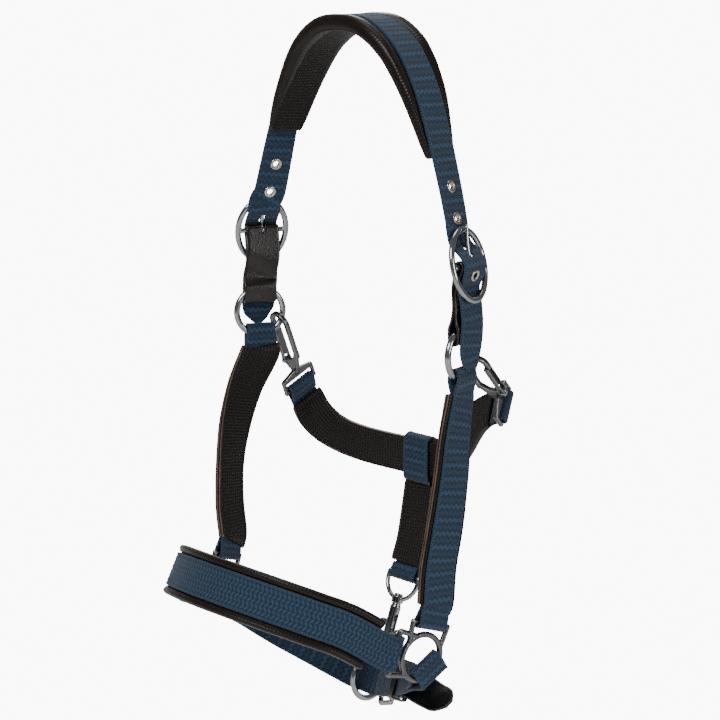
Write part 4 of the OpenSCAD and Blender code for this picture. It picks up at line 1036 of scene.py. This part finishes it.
class HALTER_OT_chapes(bpy.types.Operator):
    """Leather loops between the crown buckles and the cheek rings"""
    bl_idname = "halter.chapes"
    bl_label = "Buckle chapes"

    def execute(self, context):
        t = LEATHER_T
        for side, word in SIDES:
            yaw = YAW[side]
            n = out_at(yaw)
            hold = math.sqrt((RING_R - RING_WIRE) ** 2 - (WEB_W / 2) ** 2) - GAP
            lower = RING_C + vec(0, 0, hold + RING_WIRE)
            r_bar, r_ring = BAR_R + GAP + t / 2, RING_WIRE + GAP + t / 2
            bar = buckle_axes(yaw)[0]
            waist = buckle_spot(yaw, 17, -TUCK - WEB_T / 2 - 4.5 * RUN - t - GAP)
            down = unit(waist - bar)
            out = square_to(n, down)
            neck = RING_C + vec(0, 0, RING_R + RING_WIRE + 7)
            h = t / 2 + GAP
            loop = fold(bar, down, out, r_bar, 8)
            loop += [row(waist - h * out, -out), row(neck - h * out, -out),
                     row(lower + 8.5 * UP - r_ring * n, -n)]
            loop += fold(lower, UP, n, r_ring, 8)[::-1]
            loop += [row(lower + 8.5 * UP + r_ring * n, n), row(neck + h * out, out),
                     row(waist + h * out, out)]
            rows = np.array(loop)
            closed = np.concatenate([rows, rows[:1]])
            fine = smooth(closed, 8)[:-1]
            slot = [(lengths(closed[:9, :3])[-1] / 2, 0, 9.5, 2.1)]
            leather("buckle_chape_" + word, on_side(side, fine), WEB_W, t, closed=True,
                    holes=slot, dx=1.0)
            face = [row(waist + h * out, out), row(0.5 * (waist + neck) + h * out, out),
                    row(neck + h * out, out)]
            sew("chape_stitches_" + word, on_side(side, smooth(face, 8)),
                pair(10.6, t / 2), "black_thread", slot="leather")
        return {"FINISHED"}


class HALTER_OT_cheeks(bpy.types.Operator):
    """Cheek straps with their pads and piping"""
    bl_idname = "halter.cheeks"
    bl_label = "Cheek straps"

    def execute(self, context):
        for side, word in SIDES:
            path = cheek_rows(YAW[side], BOW[side])
            webbing("cheek_webbing_" + word, on_side(side, smooth(path, 16)),
                    "cheek_webbing_" + word)
            under = on_side(side, part(path, 16, 9.2, 15.9))
            padding("cheek_pad_" + word, under, SLIM_PAD_W + 1.4, WEB_W + 1, SLIM_PAD_T + 0.6,
                    1.5, 0.6, seed=5 + side)
            piping("cheek_piping_" + word, under,
                   pair(14.9, PAD_TOP - 1.1) + pair(14.6, PAD_TOP - 3.3), 0.55)
            face_stitches("cheek_stitches_" + word, under, 11.2)
            seam("cheek_seam_" + word, under, 11.9, SLIM_PAD_T - 0.25)
        return {"FINISHED"}


class HALTER_OT_noseband(bpy.types.Operator):
    """Noseband webbing on its wider pad"""
    bl_idname = "halter.noseband"
    bl_label = "Noseband"

    def execute(self, context):
        rows = smooth(NOSE_PATH, 18)
        webbing("noseband_webbing", rows, "noseband_webbing", weave=basket)
        middle = (len(NOSE_PATH) - 1) / 2
        under = part(NOSE_PATH, 18, middle - NOSE_SPAN, middle + NOSE_SPAN)
        padding("noseband_pad", under, NOSE_PAD_W, WEB_W + 1.2, NOSE_PAD_T, 2.6, 0.8,
                seed=11, puckers=0.22)
        face_stitches("noseband_stitches", under, 11.1, 0.05)
        seam("noseband_seam", under, 12.2, NOSE_PAD_T - 0.7)
        return {"FINISHED"}


class HALTER_OT_throatlatch(bpy.types.Operator):
    """Throatlatch webbing with its pad"""
    bl_idname = "halter.throatlatch"
    bl_label = "Throatlatch"

    def execute(self, context):
        webbing("throat_webbing", smooth(THROAT_PATH, 16), "throat_webbing")
        under = part(THROAT_PATH, 16, THROAT_MID - 6.72, THROAT_MID + 6.72)
        padding("throat_pad", under, SLIM_PAD_W + 0.6, WEB_W + 1, SLIM_PAD_T, 1.2, 0.5, seed=17)
        seam("throat_seam", under, 11.9, SLIM_PAD_T - 0.45)
        face_stitches("throat_stitches", under, 11.2)
        return {"FINISHED"}


class HALTER_OT_jaw(bpy.types.Operator):
    """Jaw strap between the throatlatch and the snap"""
    bl_idname = "halter.jaw"
    bl_label = "Jaw strap"

    def execute(self, context):
        path = jaw_rows()
        webbing("jaw_webbing", smooth(path, 16), "jaw_webbing")
        under = part(path, 16, 8.4, 11)
        padding("jaw_pad", under, SLIM_PAD_W + 0.6, WEB_W + 1, SLIM_PAD_T, 1.2, 0.5, seed=23)
        seam("jaw_seam", under, 11.9, SLIM_PAD_T - 0.45)
        return {"FINISHED"}


class HALTER_OT_chin(bpy.types.Operator):
    """Chin strap: both halves, leather billet, chape and keeper"""
    bl_idname = "halter.chin"
    bl_label = "Chin strap"

    def execute(self, context):
        for side, word in SIDES:
            rows = smooth(chin_rows(-1.4 if side > 0 else 0.6), 14)
            webbing("chin_webbing_" + word, on_side(side, rows), "chin_webbing_" + word)
        rows = billet_rows()
        s = lengths(rows[:, :3])
        slot_at = near_spot((FRAME_END + FRAME_BAR) / 2, (BILLET_H + OVER_H) / 2)
        at = s[int(np.argmin(np.linalg.norm(rows[:, :3] - slot_at, axis=1)))]
        leather("chin_billet", rows, BILLET_W, BILLET_T, holes=[(at, 0, 10.5, 3.2)], dx=0.9)
        sew("billet_stitches", rows[:-14], pair(9.9, BILLET_T / 2), "black_thread",
            slot="leather", stop=6.0)
        h, r = (CHAPE_T + GAP) / 2, BAR_R + GAP + CHAPE_T / 2
        rows = [row(near_spot(KEEPER_S + s, CHAPE_H + h), NEAR_N) for s in (5, -4)]
        rows += [row(near_spot(FRAME_BAR + 2.5, BAR_H + r), NEAR_N)]
        rows += fold(near_spot(FRAME_BAR, BAR_H), NEAR_T, -NEAR_N, r)[::-1]
        rows += [row(near_spot(FRAME_BAR + 2.5, BAR_H - r), -NEAR_N)]
        rows += [row(near_spot(KEEPER_S + s, CHAPE_H - h), -NEAR_N) for s in (-4, 5)]
        fine = smooth(rows, 8)
        middle = lengths(fine[:, :3])[-1] / 2
        leather("chin_chape", fine, WEB_W, CHAPE_T, holes=[(middle, 0, 9.0, 2.0)], dx=1.0)
        low = -WEB_T / 2 - 2 * RUN - KEEPER_T / 2
        high = FLAT_H + BILLET_T / 2 + 1.6 * RUN + KEEPER_T / 2
        half, c = WEB_W / 2 + 3 * RUN + KEEPER_T / 2 + 0.2, KEEPER_CORNER_R
        ring = []
        for sx, sy, a in ((1, 1, 0), (-1, 1, 90), (-1, -1, 180), (1, -1, 270)):
            for k in (0, 30, 60, 90):
                q = vec(cosd(a + k), sind(a + k))
                y = (high - c if sy > 0 else low + c) + c * q[1]
                ring.append(row(near_spot(KEEPER_S + 3, y) + NEAR_W * (sx * (half - c) + c * q[0]),
                                q[0] * NEAR_W + q[1] * NEAR_N))
        leather("chin_keeper", np.array(ring), KEEPER_W, KEEPER_T, "chin_keeper", closed=True,
                dx=0.8)
        return {"FINISHED"}


class HALTER_OT_wires(bpy.types.Operator):
    """Rings, buckles and buckle tongues of polished wire"""
    bl_idname = "halter.wires"
    bl_label = "Rings and buckles"

    def ring(self, name, centre, axis, body):
        axis = unit(axis)
        u = square_to(UP, axis)
        v = np.cross(axis, u)
        a = np.linspace(0, 2 * np.pi, 97)[:-1]
        points = centre + RING_R * (np.outer(np.cos(a), u) + np.outer(np.sin(a), v))
        wire_piece(name, [tube(points, RING_WIRE, True, 24, normal=axis)], body,
                   "bright_metal", "chrome", name)

    def tongue(self, name, bar, ahead, out, across, reach, wire, body):
        """A pin with a curled eye on the bar, resting on the far end of the frame."""
        rise = wire + 1.5 + 0.15
        slope = math.atan2(rise, reach)
        along = math.cos(slope) * ahead + math.sin(slope) * out
        up = math.cos(slope) * out - math.sin(slope) * ahead
        x = np.array([1.5, 4, 10, reach * 0.6, reach - 2, reach + 1.4, reach + 2.6, reach + 3.4])
        h = np.array([2.4, 1.2, 0.2, 0, 0, 0, -0.1, -0.3])
        size = np.array([1.55, 1.6, 1.6, 1.5, 1.45, 1.35, 1.0, 0.3])
        pin = tube(bar + np.outer(x, along) + np.outer(h, up), size, sides=16)
        a = np.linspace(0, 2 * np.pi, 41)[:-1]
        eye_r = BAR_R + 0.9
        eye = bar + eye_r * (np.outer(np.cos(a), ahead) + np.outer(np.sin(a), out))
        eye = tube(eye, 0.78, True, 12, squash=2.0, normal=across)
        wire_piece(name, [pin, eye], body, "bright_metal", "chrome", name)

    def execute(self, context):
        for side, word in SIDES:
            m = vec(side, 1, 1)
            yaw = YAW[side]
            self.ring("cheek_ring_" + word, RING_C * m, out_at(yaw) * m, "cheek_ring_" + word)
            c, down, out = buckle_axes(yaw)
            across = across_at(yaw)
            a = np.linspace(0, 2 * np.pi, 121)[:-1]
            rim = (c + BUCKLE_A * np.outer(np.cos(a), down)
                   + BUCKLE_B * np.outer(np.sin(a), across)) * m
            bar = [(c + k * across) * m for k in np.linspace(-BUCKLE_B, BUCKLE_B, 12)]
            wire_piece("crown_buckle_" + word,
                       [tube(rim, BUCKLE_WIRE, True, 24, squash=0.9, normal=out * m),
                        tube(bar, BAR_R, sides=20)],
                       "straps", "bright_metal", "chrome", "crown_buckle_" + word)
            self.tongue("crown_tongue_" + word, c * m, -down * m, out * m, across * m,
                        BUCKLE_A, BUCKLE_WIRE, "crown_tongue_" + word)
        self.ring("lead_ring", LEAD_C, vec(1, 0, 0), "lead_ring")
        bar = near_spot(FRAME_BAR, BAR_H)
        end = near_spot(FRAME_END, END_H) - bar
        lean, reach, r = unit(end), np.linalg.norm(end), FRAME_CORNER_R
        inner, edge = reach - r, FRAME_HALF - r
        turns = range(0, 91, 10)
        outline = [(x, FRAME_HALF) for x in np.linspace(0, inner - 1, 8)]
        outline += [(inner + r * sind(k), edge + r * cosd(k)) for k in turns]
        outline += [(reach, y) for y in np.linspace(edge - 1, 1 - edge, 8)]
        outline += [(inner + r * cosd(k), -edge - r * sind(k)) for k in turns]
        outline += [(x, -FRAME_HALF) for x in np.linspace(inner - 1, 0, 8)]
        points = np.array([bar + x * lean + y * NEAR_W for x, y in outline])
        pin = np.array([bar + k * NEAR_W
                        for k in np.linspace(-FRAME_HALF - 1, FRAME_HALF + 1, 12)])
        wire_piece("chin_buckle", [tube(points, FRAME_WIRE, sides=20), tube(pin, BAR_R, sides=20)],
                   "straps", "bright_metal", "chrome", "chin_buckle")
        self.tongue("chin_tongue", bar, lean, square_to(NEAR_N, lean), NEAR_W, reach,
                    FRAME_WIRE, "chin_tongue")
        return {"FINISHED"}


class HALTER_OT_castings(bpy.types.Operator):
    """Nose fittings, throat hooks with their gates, and the snap"""
    bl_idname = "halter.castings"
    bl_label = "Cast fittings"

    def execute(self, context):
        voxel = context.scene.halter_sizes.cast_voxel
        for _, word in SIDES:
            dress("nose_fitting_" + word, "cast", voxel, 8)
            dress("throat_hook_" + word, "cast", voxel, 5)
            dress("throat_gate_" + word, "cast", voxel * 0.75, 3)
            dress("gate_pin_" + word, "chrome", voxel * 0.6, 2)
            dress("gate_spring_" + word, "chrome")
        for node in ("snap_eye", "snap_body", "snap_bolt"):
            dress(node, "chrome", voxel * 0.8, 6)
        dress("snap_spring", "chrome")
        return {"FINISHED"}


BACKDROP_GLOW = 10.0
# Name, place in metres, size in metres and power in watts
LIGHTS = (("key", (0.5, -2.2, 1.3), 1.2, 34), ("fill", (2.3, 0.25, 0.25), 0.9, 12),
          ("glint", (2.3, -0.3, -0.1), 0.3, 2.2), ("top", (-0.3, 0.3, 2.2), 1.6, 14),
          ("back", (-1.8, 1.6, 0.9), 1.2, 12))


class HALTER_OT_stage(bpy.types.Operator):
    """Pale floor, soft studio lights and the camera"""
    bl_idname = "halter.stage"
    bl_label = "Stage"

    def execute(self, context):
        scene = context.scene
        m = Nodes("floor", Roughness=0.9)
        m.shader.inputs["Base Color"].default_value = (0.93, 0.93, 0.93, 1)
        lit = m.add("Emission", {"Color": (1, 1, 1, 1), "Strength": BACKDROP_GLOW})
        shown_to_camera(m.tree, m.shader, lit, "Material Output")
        m.roughness(m.noise(3.0), 0.85, 0.95)
        z, r, flat, bend = CAD_BOX[0][2] / MM - 240, 6000, 2200, 900
        profile = [(-r, z), (flat, z)]
        profile += [(flat + bend * sind(a), z + bend - bend * cosd(a)) for a in range(10, 91, 10)]
        profile += [(flat + bend, z + r)]
        verts = []
        back = unit([-1, 1, 0])
        side = vec(1, 1, 0) / math.sqrt(2)
        for k in (-1, 1):
            verts += [d * back + k * r * side + vec(0, 0, h) for d, h in profile]
        n = len(profile)
        faces = [(i, i + 1, n + i + 1, n + i) for i in range(n - 1)]
        floor = add_mesh("floor", verts, faces, m.material)

        for name, place, size, power in LIGHTS:
            data = bpy.data.lights.new(name, "AREA")
            data.shape, data.size, data.energy = "DISK", size, power
            obj = bpy.data.objects.new(name, data)
            scene.collection.objects.link(obj)
            obj.location = place
            aim = vec(0, 0, -0.25) - np.array(place)
            obj.rotation_euler = Vector(aim).to_track_quat("-Z", "Y").to_euler()

        world = bpy.data.worlds.new("studio")
        world.use_nodes = True
        tree = world.node_tree
        shade = tree.nodes["Background"]
        shade.inputs["Color"].default_value = (1, 1, 1, 1)
        shade.inputs["Strength"].default_value = 0.14
        white = tree.nodes.new("ShaderNodeBackground")
        white.inputs["Color"].default_value = (1, 1, 1, 1)
        white.inputs["Strength"].default_value = BACKDROP_GLOW
        shown_to_camera(tree, shade, white, "World Output")
        scene.world = world

        azimuth, elevation, distance = 45, 13, 1.409
        target = vec(0, 0, -0.238)
        away = vec(cosd(elevation) * sind(azimuth), -cosd(elevation) * cosd(azimuth),
                   sind(elevation))
        data = bpy.data.cameras.new("camera")
        data.lens, data.sensor_width, data.clip_end = 96.5, 36, 50
        camera = bpy.data.objects.new("camera", data)
        scene.collection.objects.link(camera)
        camera.location = target + distance * away
        camera.rotation_euler = Vector(-away).to_track_quat("-Z", "Y").to_euler()
        scene.camera = camera
        return {"FINISHED"}


STEPS = (HALTER_OT_crown, HALTER_OT_chapes, HALTER_OT_cheeks, HALTER_OT_noseband,
         HALTER_OT_throatlatch, HALTER_OT_jaw, HALTER_OT_chin, HALTER_OT_wires,
         HALTER_OT_castings, HALTER_OT_stage)


class HALTER_PT_panel(bpy.types.Panel):
    """Buttons and values of the halter"""
    bl_label = "Head halter"
    bl_idname = "HALTER_PT_panel"
    bl_space_type = "VIEW_3D"
    bl_region_type = "UI"
    bl_category = "Halter"

    def draw(self, context):
        for step in STEPS:
            self.layout.operator(step.bl_idname)
        for group in (context.scene.halter_sizes, context.scene.halter_colours):
            for name in group.bl_rna.properties.keys():
                if name not in ("rna_type", "name"):
                    self.layout.prop(group, name)


CLASSES = (HalterColours, HalterSizes, *STEPS, HALTER_PT_panel)


def register():
    for cls in CLASSES:
        bpy.utils.register_class(cls)
    bpy.types.Scene.halter_colours = bpy.props.PointerProperty(type=HalterColours)
    bpy.types.Scene.halter_sizes = bpy.props.PointerProperty(type=HalterSizes)


def unregister():
    del bpy.types.Scene.halter_colours
    del bpy.types.Scene.halter_sizes
    for cls in reversed(CLASSES):
        bpy.utils.unregister_class(cls)


def main():
    register()
    for step in STEPS:
        group, name = step.bl_idname.split(".")
        getattr(getattr(bpy.ops, group), name)()
    bpy.context.view_layer.update()


if __name__ == "__main__":
    main()
